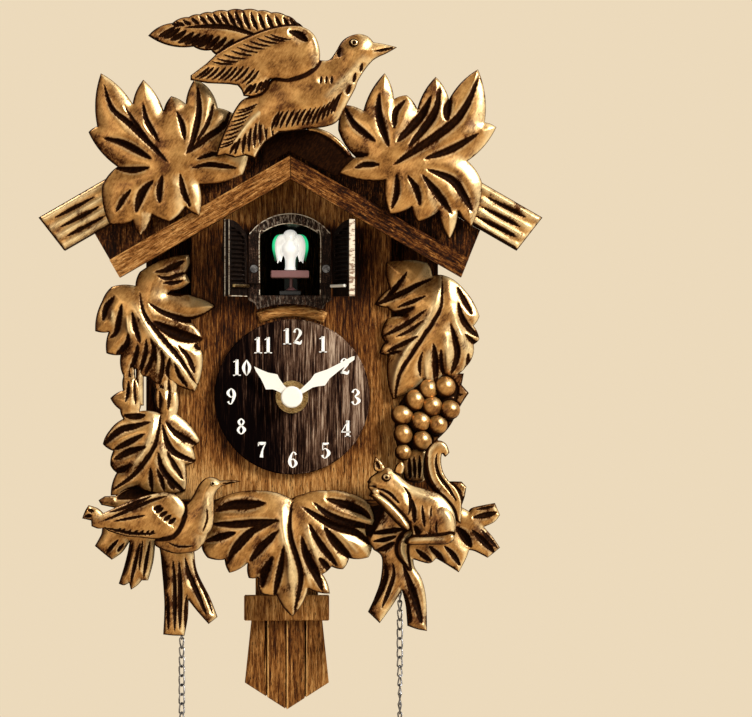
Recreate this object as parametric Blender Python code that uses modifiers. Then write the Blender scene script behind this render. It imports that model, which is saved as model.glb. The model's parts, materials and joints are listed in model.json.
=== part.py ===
"""Wall cuckoo clock with a quartz movement, a cuckoo behind two doors, a pendulum and two chain-hung pinecones.

The origin is on the back panel's rear face, at the height of the dial's centre. +Z is up, the front faces -Y and X runs to the viewer's right. Sizes below are in millimetres.
"""

import math

import bmesh
import bpy
from mathutils import Matrix, Vector
from mathutils.geometry import delaunay_2d_cdt, intersect_point_line

MM = 0.001
GAP = 0.3  # clearance between pieces that touch

# Case: a wide box at the back, with a narrower front that stands forward of it
HALF_W = 46.0
FOOT_HALF_W = 53.0  # of the front panel's wider lower part
BOX_HALF_W = 68.0
BOX_FRONT = -34.0
CASE_FLOOR = -47.6  # top of the base board
BASE_HALF_W = 54.0
BASE_T = 4.0
BACK_T = 3.0
SIDE_T = 4.0
FRONT_BACK, FRONT_FACE = -50.0, -54.0

# Roof, measured along the slope and square to it from the inner apex
APEX_Z = 99.8
SLOPE = math.radians(30)
ROOF_RUN = 90.1
FASCIA_W = 9.2
ROOF_OUT = 23.2
ROOF_UNDER = 17.0
ROOF_FRONT = -66.0
GABLE_FACE = -70.0
FASCIA_FACE = -75.0
BEAM_W = 18.8

# Dial, hands and movement
AXIS_X = 0.4
DIAL_R = 35.8
DIAL_FACE = -57.3
HOUR_ANGLE, MINUTE_ANGLE = 309.0, 57.3  # clockwise from twelve

# Doorway and cuckoo
DOOR_X = -0.5
DOOR_W, DOOR_T = 18.4, 3.7
DOOR_OPEN = math.radians(116)
HINGE_OFF, HINGE_Y = 19.3, -59.7
SLIDE_TRAVEL = 32.0

# Pendulum and chains
PENDULUM_X = -2.5
PENDULUM_PIVOT_Z = 20.0
CHAIN_X = (-51.6, 50.2)
CHAIN_Y = -30.0
CHAIN_D = 3.4
CHAIN_TOP, CHAIN_END = -60.6, -252.0
CONE_L, CONE_R = 44.0, 11.0

# Carvings: rear face of the two layers, and of the crest's two
LOW, LOW_OVER = FRONT_FACE - GAP, -62.6
CREST, CREST_OVER = FASCIA_FACE - GAP, -83.6

for old in list(bpy.data.objects):
    bpy.data.objects.remove(old, do_unlink=True)
scene = bpy.context.scene
scene.unit_settings.system = "METRIC"
parts = bpy.data.collections.new("Cuckoo clock")
cutters = bpy.data.collections.new("Cutters")
scene.collection.children.link(parts)
scene.collection.children.link(cutters)
cutters.hide_render = True


def finish(name, colour, rough, metal=0.0):
    m = bpy.data.materials.new(name)
    m.use_nodes = True
    shader = m.node_tree.nodes["Principled BSDF"]
    shader.inputs["Base Color"].default_value = (*colour, 1)
    shader.inputs["Roughness"].default_value = rough
    shader.inputs["Metallic"].default_value = metal
    return m


BRONZE = finish("antiqued_bronze_paint", (0.42, 0.25, 0.09), 0.38, 0.3)
WALNUT = finish("dark_wood", (0.11, 0.055, 0.025), 0.5)
FRAME = finish("grey_brown_wood", (0.20, 0.15, 0.11), 0.6)
BLACK = finish("black_plastic", (0.02, 0.02, 0.02), 0.45)
WHITE = finish("white_plastic", (0.9, 0.9, 0.88), 0.35)
PINK = finish("mauve_plastic", (0.35, 0.2, 0.22), 0.5)
BRASS = finish("brass", (0.75, 0.55, 0.25), 0.3, 1.0)
STEEL = finish("dark_steel", (0.18, 0.18, 0.19), 0.35, 1.0)
GREEN = finish("green_lamp", (0.1, 0.8, 0.4), 0.2)
CELL = finish("battery_sleeve", (0.1, 0.2, 0.35), 0.4)


def made(name, bm, material, where=parts, smooth=False):
    bmesh.ops.remove_doubles(bm, verts=bm.verts, dist=1e-6)
    bmesh.ops.recalc_face_normals(bm, faces=bm.faces)
    mesh = bpy.data.meshes.new(name)
    bm.to_mesh(mesh)
    bm.free()
    obj = bpy.data.objects.new(name, mesh)
    where.objects.link(obj)
    if material:
        mesh.materials.append(material)
    if smooth:
        mesh.shade_smooth()
    if where is cutters:
        obj.hide_render = True
        obj.display_type = "WIRE"
    return obj


def prism(name, outline, y0, y1, material=None, where=parts):
    """An (x, z) outline extruded along Y from y0 to y1."""
    bm = bmesh.new()
    face = bm.faces.new([bm.verts.new((x * MM, y0 * MM, z * MM)) for x, z in outline])
    side = bmesh.ops.extrude_face_region(bm, geom=[face])["geom"]
    move = [v for v in side if isinstance(v, bmesh.types.BMVert)]
    bmesh.ops.translate(bm, verts=move, vec=(0, (y1 - y0) * MM, 0))
    return made(name, bm, material, where)


def block(name, xs, ys, zs, material=None, where=parts, bevel=0.0):
    bm = bmesh.new()
    size = [abs(b - a) * MM for a, b in (xs, ys, zs)]
    centre = [(a + b) / 2 * MM for a, b in (xs, ys, zs)]
    bmesh.ops.create_cube(bm, size=1.0, matrix=Matrix.Translation(centre) @ Matrix.Diagonal((*size, 1)))
    if bevel:
        bmesh.ops.bevel(bm, geom=bm.edges[:], offset=bevel * MM, segments=1, affect="EDGES")
    return made(name, bm, material, where)


def rod(name, start, end, radius, material=None, where=parts, segments=24, radius2=None):
    """A cylinder or cone between two points."""
    a, b = Vector(start) * MM, Vector(end) * MM
    bm = bmesh.new()
    turn = (b - a).to_track_quat("Z", "Y").to_matrix().to_4x4()
    bmesh.ops.create_cone(
        bm,
        cap_ends=True,
        segments=segments,
        radius1=radius * MM,
        radius2=(radius if radius2 is None else radius2) * MM,
        depth=(b - a).length,
        matrix=Matrix.Translation((a + b) / 2) @ turn,
    )
    return made(name, bm, material, where)


def boolean(obj, other, operation="DIFFERENCE"):
    m = obj.modifiers.new(other.name, "BOOLEAN")
    m.operation = operation
    m.solver = "EXACT"
    m.object = other
    return obj


def cut(obj, *tools):
    for tool in tools:
        boolean(obj, tool)
    return obj


def bevelled(obj, width, segments=2):
    m = obj.modifiers.new("edges", "BEVEL")
    m.width = width * MM
    m.segments = segments
    m.limit_method = "ANGLE"
    m.angle_limit = math.radians(40)
    return obj


def lathe(name, profile, top, material, steps=24):
    """A Screw about Z. The profile is (radius, height) from its top axis point to its bottom one."""
    mesh = bpy.data.meshes.new(name)
    points = [((r * MM), 0, z * MM) for r, z in profile]
    mesh.from_pydata(points, [(i, i + 1) for i in range(len(points) - 1)], [])
    mesh.materials.append(material)
    obj = bpy.data.objects.new(name, mesh)
    parts.objects.link(obj)
    obj.location = Vector(top) * MM
    m = obj.modifiers.new("turned", "SCREW")
    m.steps = m.render_steps = steps
    m.use_merge_vertices = True
    m.merge_threshold = 0.00001
    m.use_normal_calculate = True
    m.use_smooth_shade = True
    return obj


def on_slope(side, s, n):
    """The (x, z) point a distance s down the roof's slope and n square to it; side is -1 at the left."""
    return (
        side * (s * math.cos(SLOPE) + n * math.sin(SLOPE)),
        APEX_Z - s * math.sin(SLOPE) + n * math.cos(SLOPE),
    )


def roof_end(side, n):
    """How far down the slope the roof ends. The left end is square and the right one is nearer to upright."""
    return ROOF_RUN - (0.14 * n if side > 0 else 0)


def strip(side, n0, n1):
    """A roof strip from the mitre at the apex to its cut end."""
    t, half = math.tan(SLOPE), GAP / 2 / math.cos(SLOPE)
    return [
        on_slope(side, half - n0 * t, n0),
        on_slope(side, roof_end(side, n0), n0),
        on_slope(side, roof_end(side, n1), n1),
        on_slope(side, half - n1 * t, n1),
    ]


def eaves_z(x, n):
    """Height of the line n above the roof's inner edge, at x."""
    return APEX_Z + n / math.cos(SLOPE) - abs(x) * math.tan(SLOPE)


def arch(cx, half, z0, spring, top, steps=10):
    """A doorway's outline: straight jambs and a segmental head."""
    rise = top - spring
    radius = (half * half + rise * rise) / (2 * rise)
    centre = top - radius
    reach = math.asin(half / radius)
    head = [
        (cx + radius * math.sin(a), centre + radius * math.cos(a))
        for a in (reach * (1 - 2 * i / steps) for i in range(steps + 1))
    ]
    return [(cx - half, z0), (cx + half, z0), *head]


def circle(cx, cz, r, steps=48):
    return [
        (cx + r * math.cos(2 * math.pi * i / steps), cz + r * math.sin(2 * math.pi * i / steps))
        for i in range(steps)
    ]


def inside(p, outline):
    hit = False
    for (x0, z0), (x1, z1) in zip(outline, outline[1:] + outline[:1]):
        if (z0 > p[1]) != (z1 > p[1]) and p[0] < (x1 - x0) * (p[1] - z0) / (z1 - z0) + x0:
            hit = not hit
    return hit


def away(p, line, closed=False):
    """Distance from a point to a polyline."""
    pairs = list(zip(line, line[1:] + (line[:1] if closed else [])))
    best = 1e9
    for a, b in pairs[: len(pairs) if closed else len(line) - 1]:
        q, t = intersect_point_line((*p, 0), (*a, 0), (*b, 0))
        q = Vector((*a, 0)) if t < 0 else Vector((*b, 0)) if t > 1 else q
        best = min(best, (Vector((*p, 0)) - q).length)
    return best


def divided(line, step, closed):
    out = []
    pairs = zip(line, line[1:] + line[:1] if closed else line[1:])
    for a, b in pairs:
        count = max(1, round(math.dist(a, b) / step))
        out += [(a[0] + (b[0] - a[0]) * i / count, a[1] + (b[1] - a[1]) * i / count) for i in range(count)]
    return out if closed else [*out, line[-1]]


def carving(name, outline, back, edge, crown, veins=(), spacing=4.0, depth=2.2, width=2.2):
    """A carved piece: a flat back, an upright edge and a front that swells towards its middle and sinks along its veins."""
    rim = divided(outline, spacing * 1.6, True)
    lines = [divided(list(v), spacing * 1.2, False) for v in veins]
    lines = [[p for p in line if inside(p, outline) and away(p, outline, True) > 0.8] for line in lines]
    lines = [line for line in lines if len(line) > 1]
    points, edges = list(rim), []
    for line in lines:
        start = len(points)
        points += line
        edges += [(start + i, start + i + 1) for i in range(len(line) - 1)]
    xs, zs = [p[0] for p in outline], [p[1] for p in outline]
    row, z = 0, min(zs)
    while z < max(zs):
        x = min(xs) + (spacing / 2 if row % 2 else 0)
        while x < max(xs):
            p = (x, z)
            if inside(p, outline) and away(p, outline, True) > 0.45 * spacing and all(away(p, v) > 0.5 * spacing for v in lines):
                points.append(p)
            x += spacing
        z += spacing * 0.87
        row += 1
    flat, _, faces, *_ = delaunay_2d_cdt([Vector(p) for p in points], edges, [list(range(len(rim)))], 1, 1e-6)
    bm = bmesh.new()

    def front(p):
        d = away(p, outline, True)
        height = edge + crown * (1 - math.exp(-d / 5.0)) if d > 0.01 else edge
        if lines and d > 0.01:
            near = min(away(p, v) for v in lines)
            height -= depth * max(0.0, 1 - near / width)
        return back - max(height, 1.5)

    tops = [bm.verts.new((p.x * MM, front((p.x, p.y)) * MM, p.y * MM)) for p in flat]
    for f in faces:
        if inside(sum((flat[i] for i in f), Vector((0, 0))) / len(f), outline):
            bm.faces.new([tops[i] for i in f])
    used = [e for e in bm.edges if len(e.link_faces) == 1]
    walls = bmesh.ops.extrude_edge_only(bm, edges=used)["geom"]
    feet = [v for v in walls if isinstance(v, bmesh.types.BMVert)]
    for v in feet:
        v.co.y = back * MM
    bmesh.ops.contextual_create(bm, geom=[e for e in walls if isinstance(e, bmesh.types.BMEdge) and len(e.link_faces) == 1])
    bmesh.ops.triangulate(bm, faces=[f for f in bm.faces if len(f.verts) > 4])
    for v in [v for v in bm.verts if not v.link_faces]:
        bm.verts.remove(v)
    return made(name, bm, BRONZE, smooth=False)


def carried(name, axis_point, *objs):
    """Hangs pieces on an empty that stands on their joint's axis."""
    empty = bpy.data.objects.new(name, None)
    empty.empty_display_size = 0.01
    empty.location = Vector(axis_point) * MM
    parts.objects.link(empty)
    for obj in objs:
        obj.parent = empty
        obj.matrix_parent_inverse = Matrix.Translation(-Vector(axis_point) * MM)


# ---------------------------------------------------------------- case
def house(half, z0, n):
    """A gabled outline whose slopes run n above the roof's inner edge."""
    return [(-half, z0), (half, z0), (half, eaves_z(half, n)), (0, eaves_z(0, n)), (-half, eaves_z(half, n))]


doorway = arch(DOOR_X, 14.0, 46.6, 74.6, 79.9)
shoulders = [(FOOT_HALF_W, CASE_FLOOR + GAP), (FOOT_HALF_W, 14), (HALF_W, 20), (HALF_W, eaves_z(HALF_W, ROOF_UNDER - GAP))]
front_outline = [*shoulders, (0, eaves_z(0, ROOF_UNDER - GAP)), *[(-x, z) for x, z in shoulders[::-1]]]
front = prism("front_panel", front_outline, FRONT_BACK, FRONT_FACE, WALNUT)
cut(
    front,
    prism("cut_front_doorway", doorway, -45, -60, where=cutters),
    rod("cut_front_shaft", (AXIS_X, -45, 0), (AXIS_X, -60, 0), 4.3, where=cutters),
)

back = prism("back_panel", house(BOX_HALF_W, CASE_FLOOR - BASE_T, ROOF_UNDER - GAP), 0, -BACK_T, WALNUT)
cut(
    back,
    block("cut_back_battery", (-28, 28), (5, -8), (-60, -10), where=cutters),
    rod("cut_back_keyhole", (0, 5, 84), (0, -8, 84), 4.0, where=cutters),
    block("cut_back_keyslot", (-1.8, 1.8), (5, -8), (84, 93), where=cutters),
)
for i in range(5):
    z = 17 + 4 * i
    cut(back, block(f"cut_back_grille_{i}", (13, 31), (5, -8), (z - 0.8, z + 0.8), where=cutters))


def upright(name, plan, z0, top):
    """An (x, y) plan raised from z0 to a height that may slope with x."""
    bm = bmesh.new()
    low = [bm.verts.new((x * MM, y * MM, z0 * MM)) for x, y in plan]
    high = [bm.verts.new((x * MM, y * MM, top(x) * MM)) for x, y in plan]
    bm.faces.new(low)
    bm.faces.new(high[::-1])
    for i in range(len(plan)):
        j = (i + 1) % len(plan)
        bm.faces.new((low[i], low[j], high[j], high[i]))
    return made(name, bm, WALNUT)


for side, word in ((-1, "left"), (1, "right")):
    plan = [
        (BOX_HALF_W, -BACK_T - GAP),
        (BOX_HALF_W, BOX_FRONT),
        (HALF_W, BOX_FRONT),
        (HALF_W, FRONT_BACK + GAP),
        (HALF_W - SIDE_T, FRONT_BACK + GAP),
        (HALF_W - SIDE_T, BOX_FRONT + SIDE_T),
        (BOX_HALF_W - SIDE_T, BOX_FRONT + SIDE_T),
        (BOX_HALF_W - SIDE_T, -BACK_T - GAP),
    ]
    plan = [(side * x, y) for x, y in plan]
    upright(f"side_{word}", plan, CASE_FLOOR + GAP, lambda x: eaves_z(x, ROOF_UNDER - GAP))

base_plan = [
    (-BOX_HALF_W - 2, -BACK_T - GAP),
    (BOX_HALF_W + 2, -BACK_T - GAP),
    (BOX_HALF_W + 2, BOX_FRONT - 2),
    (BASE_HALF_W, BOX_FRONT - 2),
    (BASE_HALF_W, FRONT_FACE),
    (-BASE_HALF_W, FRONT_FACE),
    (-BASE_HALF_W, BOX_FRONT - 2),
    (-BOX_HALF_W - 2, BOX_FRONT - 2),
]
base = upright("base_board", base_plan, CASE_FLOOR - BASE_T, lambda x: CASE_FLOOR)
cut(base, block("cut_base_slot", (PENDULUM_X - 21, PENDULUM_X + 21), (-25, -36), (-60, -40), where=cutters))

# ---------------------------------------------------------------- roof
for side, word in ((-1, "left"), (1, "right")):
    prism(f"roof_{word}", strip(side, ROOF_UNDER, ROOF_OUT), -0.5, ROOF_FRONT, WALNUT)
    prism(f"fascia_{word}", strip(side, 0, FASCIA_W), GABLE_FACE - GAP, FASCIA_FACE, WALNUT)
    beam = [
        on_slope(side, 52, ROOF_OUT + GAP),
        on_slope(side, 106.0, ROOF_OUT + GAP),
        on_slope(side, 108.8, ROOF_OUT + GAP + BEAM_W),
        on_slope(side, 52, ROOF_OUT + GAP + BEAM_W),
    ]
    bevelled(prism(f"beam_{word}", beam, -63, FASCIA_FACE, BRONZE), 1.5)
    for i, n in enumerate((4.2, 9.4, 14.6)):
        a, b = on_slope(side, 88, ROOF_OUT + n - 1.5), on_slope(side, 112, ROOF_OUT + n + 1.5)
        groove = rod(f"cut_beam_{word}_{i}", (a[0], -75.6, a[1]), (b[0], -75.6, b[1]), 1.2, where=cutters, segments=8)
        cut(bpy.data.objects[f"beam_{word}"], groove)
gable = [
    on_slope(-1, ROOF_RUN, 0),
    (0, eaves_z(0, 0)),
    on_slope(1, roof_end(1, 0), 0),
    on_slope(1, roof_end(1, ROOF_OUT), ROOF_OUT),
    (0, eaves_z(0, ROOF_OUT)),
    on_slope(-1, ROOF_RUN, ROOF_OUT),
]
prism("gable_board", gable, ROOF_FRONT - GAP, GABLE_FACE, WALNUT)

# ---------------------------------------------------------------- doorway
frame_outline = [
    (DOOR_X - 15.0, 40.4),
    (DOOR_X - 7.5, 42.3),
    (DOOR_X, 43.0),
    (DOOR_X + 7.5, 42.3),
    (DOOR_X + 15.0, 40.4),
    (DOOR_X + 16.4, 43.2),
    (DOOR_X + 19.0, 44.6),
    *arch(DOOR_X, 19.0, 44.6, 74.0, 84.8, 12)[2:],
    (DOOR_X - 19.0, 44.6),
    (DOOR_X - 16.4, 43.2),
]
frame = prism("door_frame", frame_outline, FRONT_FACE - GAP, -59.3, FRAME)
cut(frame, prism("cut_frame_doorway", arch(DOOR_X, 13.7, 46.7, 74.6, 79.7), -50, -65, where=cutters))
for side, word in ((-1, "left"), (1, "right")):
    x = DOOR_X + side * 16.6
    cut(
        frame,
        rod(f"cut_screw_{word}", (x, -57.8, 59), (x, -62, 59), 2.1, where=cutters),
        block(f"cut_wire_{word}", (DOOR_X + side * 12, DOOR_X + side * 22), (-57.4, -62), (49.7, 52.3), where=cutters),
    )
    rod(f"frame_screw_{word}", (x, -58.1, 59), (x, -59.2, 59), 1.8, STEEL)

for side, word in ((-1, "left"), (1, "right")):
    hinge = Vector((DOOR_X + side * HINGE_OFF, HINGE_Y, 0))
    along = Vector((side * -math.cos(DOOR_OPEN), -math.sin(DOOR_OPEN), 0))
    outward = Vector((side * math.sin(DOOR_OPEN), -math.cos(DOOR_OPEN), 0))
    turn = Matrix((
        (along.x, outward.x, 0, hinge.x),
        (along.y, outward.y, 0, hinge.y),
        (0, 0, 1, 0),
        (0, 0, 0, 1),
    ))

    def placed(obj):
        """Stands a door's piece, built closed along X, at its open angle."""
        m = Matrix.Translation(turn.translation * MM) @ turn.to_3x3().to_4x4()
        obj.data.transform(m)
        if m.determinant() < 0:
            obj.data.flip_normals()
        return obj

    radius = (DOOR_W**2 + 7.2**2) / (2 * 7.2)
    head = [(DOOR_W * t, 81.3 - radius + math.sqrt(radius**2 - (DOOR_W * (1 - t)) ** 2)) for t in (1, 0.8, 0.6, 0.4, 0.2, 0)]
    outline = [(0, 46.2), (DOOR_W, 46.2), *head]
    door = placed(prism(f"door_{word}", outline, 0, DOOR_T, FRAME))
    pocket = [(3.0, 53.5), (DOOR_W - 3.0, 53.5), *[(3.0 + (DOOR_W - 6) * t, 77.6 - radius + math.sqrt(radius**2 - (DOOR_W * (1 - t)) ** 2)) for t in (1, 0.5, 0)]]
    inner = placed(prism(f"cut_door_in_{word}", pocket, -1.0, 0.9, where=cutters))
    outer = placed(prism(f"cut_door_out_{word}", pocket, DOOR_T - 0.9, DOOR_T + 1.0, where=cutters))
    cut(door, inner, outer)
    wire = placed(rod(f"door_wire_{word}", (1.5, -1.0, 51), (16.0, -1.0, 51), 0.7, BRASS, segments=10))
    carried(f"door_{word}_hinge", hinge, door, wire)

# ---------------------------------------------------------------- cuckoo and its slide
lathe(
    "cuckoo",
    [(0, 18.6), (1.6, 18.2), (3.0, 16.9), (3.6, 15.0), (3.2, 13.0), (4.6, 10.5), (5.0, 8.0), (3.8, 4.5), (2.0, 2.4), (2.0, 0), (0, 0)],
    (DOOR_X, -52, 58.6),
    WHITE,
)
wings = prism(
    "join_cuckoo_wings",
    [(-3, 73), (-5.6, 73.6), (-7.4, 70), (-6.6, 65), (-5.4, 61.4), (-4, 63), (-2, 68), (2, 68), (4, 63), (5.4, 61.4), (6.6, 65), (7.4, 70), (5.6, 73.6), (3, 73)],
    -50.5,
    -53.5,
    where=cutters,
)
wings.data.transform(Matrix.Translation((DOOR_X * MM, 0, 0)))
beak = rod("join_cuckoo_beak", (DOOR_X, -54, 73.8), (DOOR_X, -58.5, 73.0), 1.2, where=cutters, segments=10, radius2=0.2)
bird = bpy.data.objects["cuckoo"]
boolean(bird, wings, "UNION")
boolean(bird, beak, "UNION")

perch = block("perch", (DOOR_X - 8.8, DOOR_X + 8.8), (-44, -62), (54.8, 58.2), PINK, bevel=0.4)
boolean(perch, rod("join_perch_pin", (DOOR_X + 0.4, -53, 50.0), (DOOR_X + 0.4, -53, 56), 0.7, where=cutters, segments=12), "UNION")
boolean(perch, rod("join_perch_foot", (DOOR_X + 0.4, -53, 49.2), (DOOR_X + 0.4, -53, 50.4), 2.6, where=cutters, segments=16, radius2=1.2), "UNION")
carriage = block("slide_carriage", (DOOR_X - 5, DOOR_X + 5), (-36, -56), (46.9, 48.9), BLACK, bevel=0.3)
boolean(carriage, block("join_carriage_post", (DOOR_X - 3, DOOR_X + 3), (-36, -38), (48, 70), where=cutters), "UNION")
lamp = rod("bird_lamp", (DOOR_X, -38.3, 66), (DOOR_X, -43, 66), 2.5, GREEN, segments=20)
rail = block("guide_rail", (DOOR_X - 8, DOOR_X + 8), (-BACK_T - GAP, -49.4), (40.5, 46.4), BLACK)
carried("cuckoo_slide_axis", (DOOR_X, -52, 56.5), bird, perch, carriage, lamp)

# ---------------------------------------------------------------- dial, hands and movement
dial = prism("dial", circle(AXIS_X, 0, DIAL_R, 72), FRONT_FACE - GAP, DIAL_FACE, WALNUT)
cut(dial, rod("cut_dial_shaft", (AXIS_X, -50, 0), (AXIS_X, -60, 0), 4.3, where=cutters))
bushing = rod("threaded_bushing", (AXIS_X, -50.0, 0), (AXIS_X, -59.4, 0), 4.0, BRASS, segments=32)
cut(bushing, rod("cut_bushing", (AXIS_X, -45, 0), (AXIS_X, -65, 0), 2.6, where=cutters))
nut = rod("dial_nut", (AXIS_X, DIAL_FACE - GAP, 0), (AXIS_X, -58.5, 0), 7.5, BRASS, segments=48)
boolean(nut, rod("join_nut_hex", (AXIS_X, -58.3, 0), (AXIS_X, -59.9, 0), 6.4, where=cutters, segments=6), "UNION")
cut(nut, rod("cut_nut", (AXIS_X, -55, 0), (AXIS_X, -62, 0), 4.3, where=cutters, segments=32))

hour_tube = rod("hour_tube", (AXIS_X, -41, 0), (AXIS_X, -61.9, 0), 2.3, BRASS)
cut(hour_tube, rod("cut_hour_tube", (AXIS_X, -35, 0), (AXIS_X, -65, 0), 1.3, where=cutters))
minute_shaft = rod("minute_shaft", (AXIS_X, -39, 0), (AXIS_X, -64.3, 0), 1.0, BRASS)

HOUR = [(2, -1.5), (5.9, -1.8), (9.0, -2.7), (11.5, -4.8), (13.6, -3.7), (16.4, -2.4), (20.5, -1.1), (22.3, 0), (19, 0.8), (15.4, 1.9), (11.7, 3.9), (9.8, 3.0), (6.4, 2.0), (2, 1.5)]
MINUTE = [(2, -1.2), (4.9, -1.3), (10.6, -1.5), (12.9, -2.4), (15.8, -3.8), (19.3, -2.2), (25.3, -1.5), (33.5, -1.1), (34.4, 0.2), (33.4, 0.7), (27, 1.2), (20.5, 1.9), (14.7, 3.3), (11.5, 2.0), (5.9, 0.9), (2, 1.0)]


def hand(name, outline, angle, y0, y1, hub, hole):
    """A hand drawn along its own length and turned to its time; v is towards twelve o'clock for a hand at three."""
    a = math.radians(angle)
    blade = [(AXIS_X + u * math.sin(a) - v * math.cos(a) * (1 if angle < 180 else -1), u * math.cos(a) + v * math.sin(a) * (1 if angle < 180 else -1)) for u, v in outline]
    obj = rod(name, (AXIS_X, y0, 0), (AXIS_X, y1, 0), hub, WHITE, segments=32)
    boolean(obj, prism(f"join_{name}", blade, y0, y1, where=cutters), "UNION")
    cut(obj, rod(f"cut_{name}", (AXIS_X, y0 + 4, 0), (AXIS_X, y1 - 4, 0), hole, where=cutters))
    return obj


hour_hand = hand("hour_hand", HOUR, HOUR_ANGLE, -60.3, -61.3, 5.0, 2.6)
minute_hand = hand("minute_hand", MINUTE, MINUTE_ANGLE, -62.5, -63.5, 4.6, 1.3)
cap = rod("hand_cap", (AXIS_X, -64.6, 0), (AXIS_X, -66.4, 0), 5.0, WHITE, segments=32)
bevelled(cap, 1.0, 3)
carried("minute_axis", (AXIS_X, -60, 0), minute_hand, minute_shaft, cap)
carried("hour_axis", (AXIS_X, -60, 0), hour_hand, hour_tube)

movement = block("movement_case", (-28, 28), (-33.3, -49.7), (-28, 28), BLACK, bevel=1.0)
cut(
    movement,
    rod("cut_movement_shaft", (AXIS_X, -38.5, 0), (AXIS_X, -55, 0), 2.7, where=cutters),
    rod("cut_movement_knob", (16, -30, 0), (16, -40, 0), 1.8, where=cutters),
)
knob = rod("set_knob", (16, -29.5, 0), (16, -33.0, 0), 6.0, WHITE, segments=20)
boolean(knob, rod("join_knob_stem", (16, -32, 0), (16, -39, 0), 1.5, where=cutters), "UNION")
carried("set_knob_axis", (16, -33, 0), knob)
boolean(movement, block("join_driver", (PENDULUM_X - 7, PENDULUM_X + 7), (-30.4, -34.0), (13, 27), where=cutters), "UNION")
boolean(movement, rod("join_driver_pin", (PENDULUM_X, -25.5, PENDULUM_PIVOT_Z), (PENDULUM_X, -31, PENDULUM_PIVOT_Z), 1.0, where=cutters), "UNION")

# ---------------------------------------------------------------- power and sound
battery_box = block("battery_box", (-27, 27), (-2.4, -19.0), (-44, -24), BLACK)
cut(battery_box, block("cut_battery_bay", (-25.6, 25.6), (5, -17.6), (-42.4, -25.6), where=cutters))
rod("battery", (-25.0, -9.8, -34), (24.0, -9.8, -34), 7.1, CELL, segments=32)
boolean(bpy.data.objects["battery"], rod("join_battery_tip", (23.5, -9.8, -34), (25.2, -9.8, -34), 2.7, where=cutters), "UNION")
cover = block("battery_cover", (-27.6, 27.6), (-0.3, -2.1), (-51.3, -10.4), BLACK, bevel=0.2)
carried("battery_cover_slide", (0, -1.2, -30), cover)
speaker = rod("speaker", (22, -3.3, 25), (22, -6.3, 25), 14.0, BLACK, segments=32)
boolean(speaker, rod("join_speaker_magnet", (22, -6, 25), (22, -12.5, 25), 7.5, where=cutters), "UNION")

# ---------------------------------------------------------------- pendulum
hanger = rod("pendulum_hanger", (PENDULUM_X, -27.6, PENDULUM_PIVOT_Z), (PENDULUM_X, -29.4, PENDULUM_PIVOT_Z), 3.2, STEEL, segments=24)
boolean(hanger, block("join_hanger_rod", (PENDULUM_X - 1.5, PENDULUM_X + 1.5), (-27.6, -29.4), (-42, 18), where=cutters), "UNION")
cut(hanger, rod("cut_hanger_eye", (PENDULUM_X, -20, PENDULUM_PIVOT_Z), (PENDULUM_X, -40, PENDULUM_PIVOT_Z), 1.05, where=cutters))
neck = block("pendulum_neck", (PENDULUM_X - 14.6, PENDULUM_X + 14.6), (-29.7, -32.7), (-97.0, -30), WALNUT, bevel=0.3)
header = block("pendulum_header", (PENDULUM_X - 19.8, PENDULUM_X + 19.8), (-33.0, -37.0), (-104.3, -92.4), WALNUT, bevel=0.5)
boards = prism(
    "pendulum_boards",
    [(PENDULUM_X + x, z) for x, z in ((-15.8, -97.4), (15.8, -97.4), (19.6, -133.4), (0.0, -146.0), (-19.6, -133.4))],
    -29.4,
    -32.7,
    WALNUT,
)
for i, x in enumerate((-9.2, 0.0, 9.2)):
    line = rod(f"cut_board_{i}", (PENDULUM_X + x * 0.85, -32.9, -96), (PENDULUM_X + x * 1.05, -32.9, -150), 0.7, where=cutters, segments=6)
    cut(boards, line)
carried("pendulum_pivot", (PENDULUM_X, -28.5, PENDULUM_PIVOT_Z), hanger, neck, header, boards)

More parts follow.
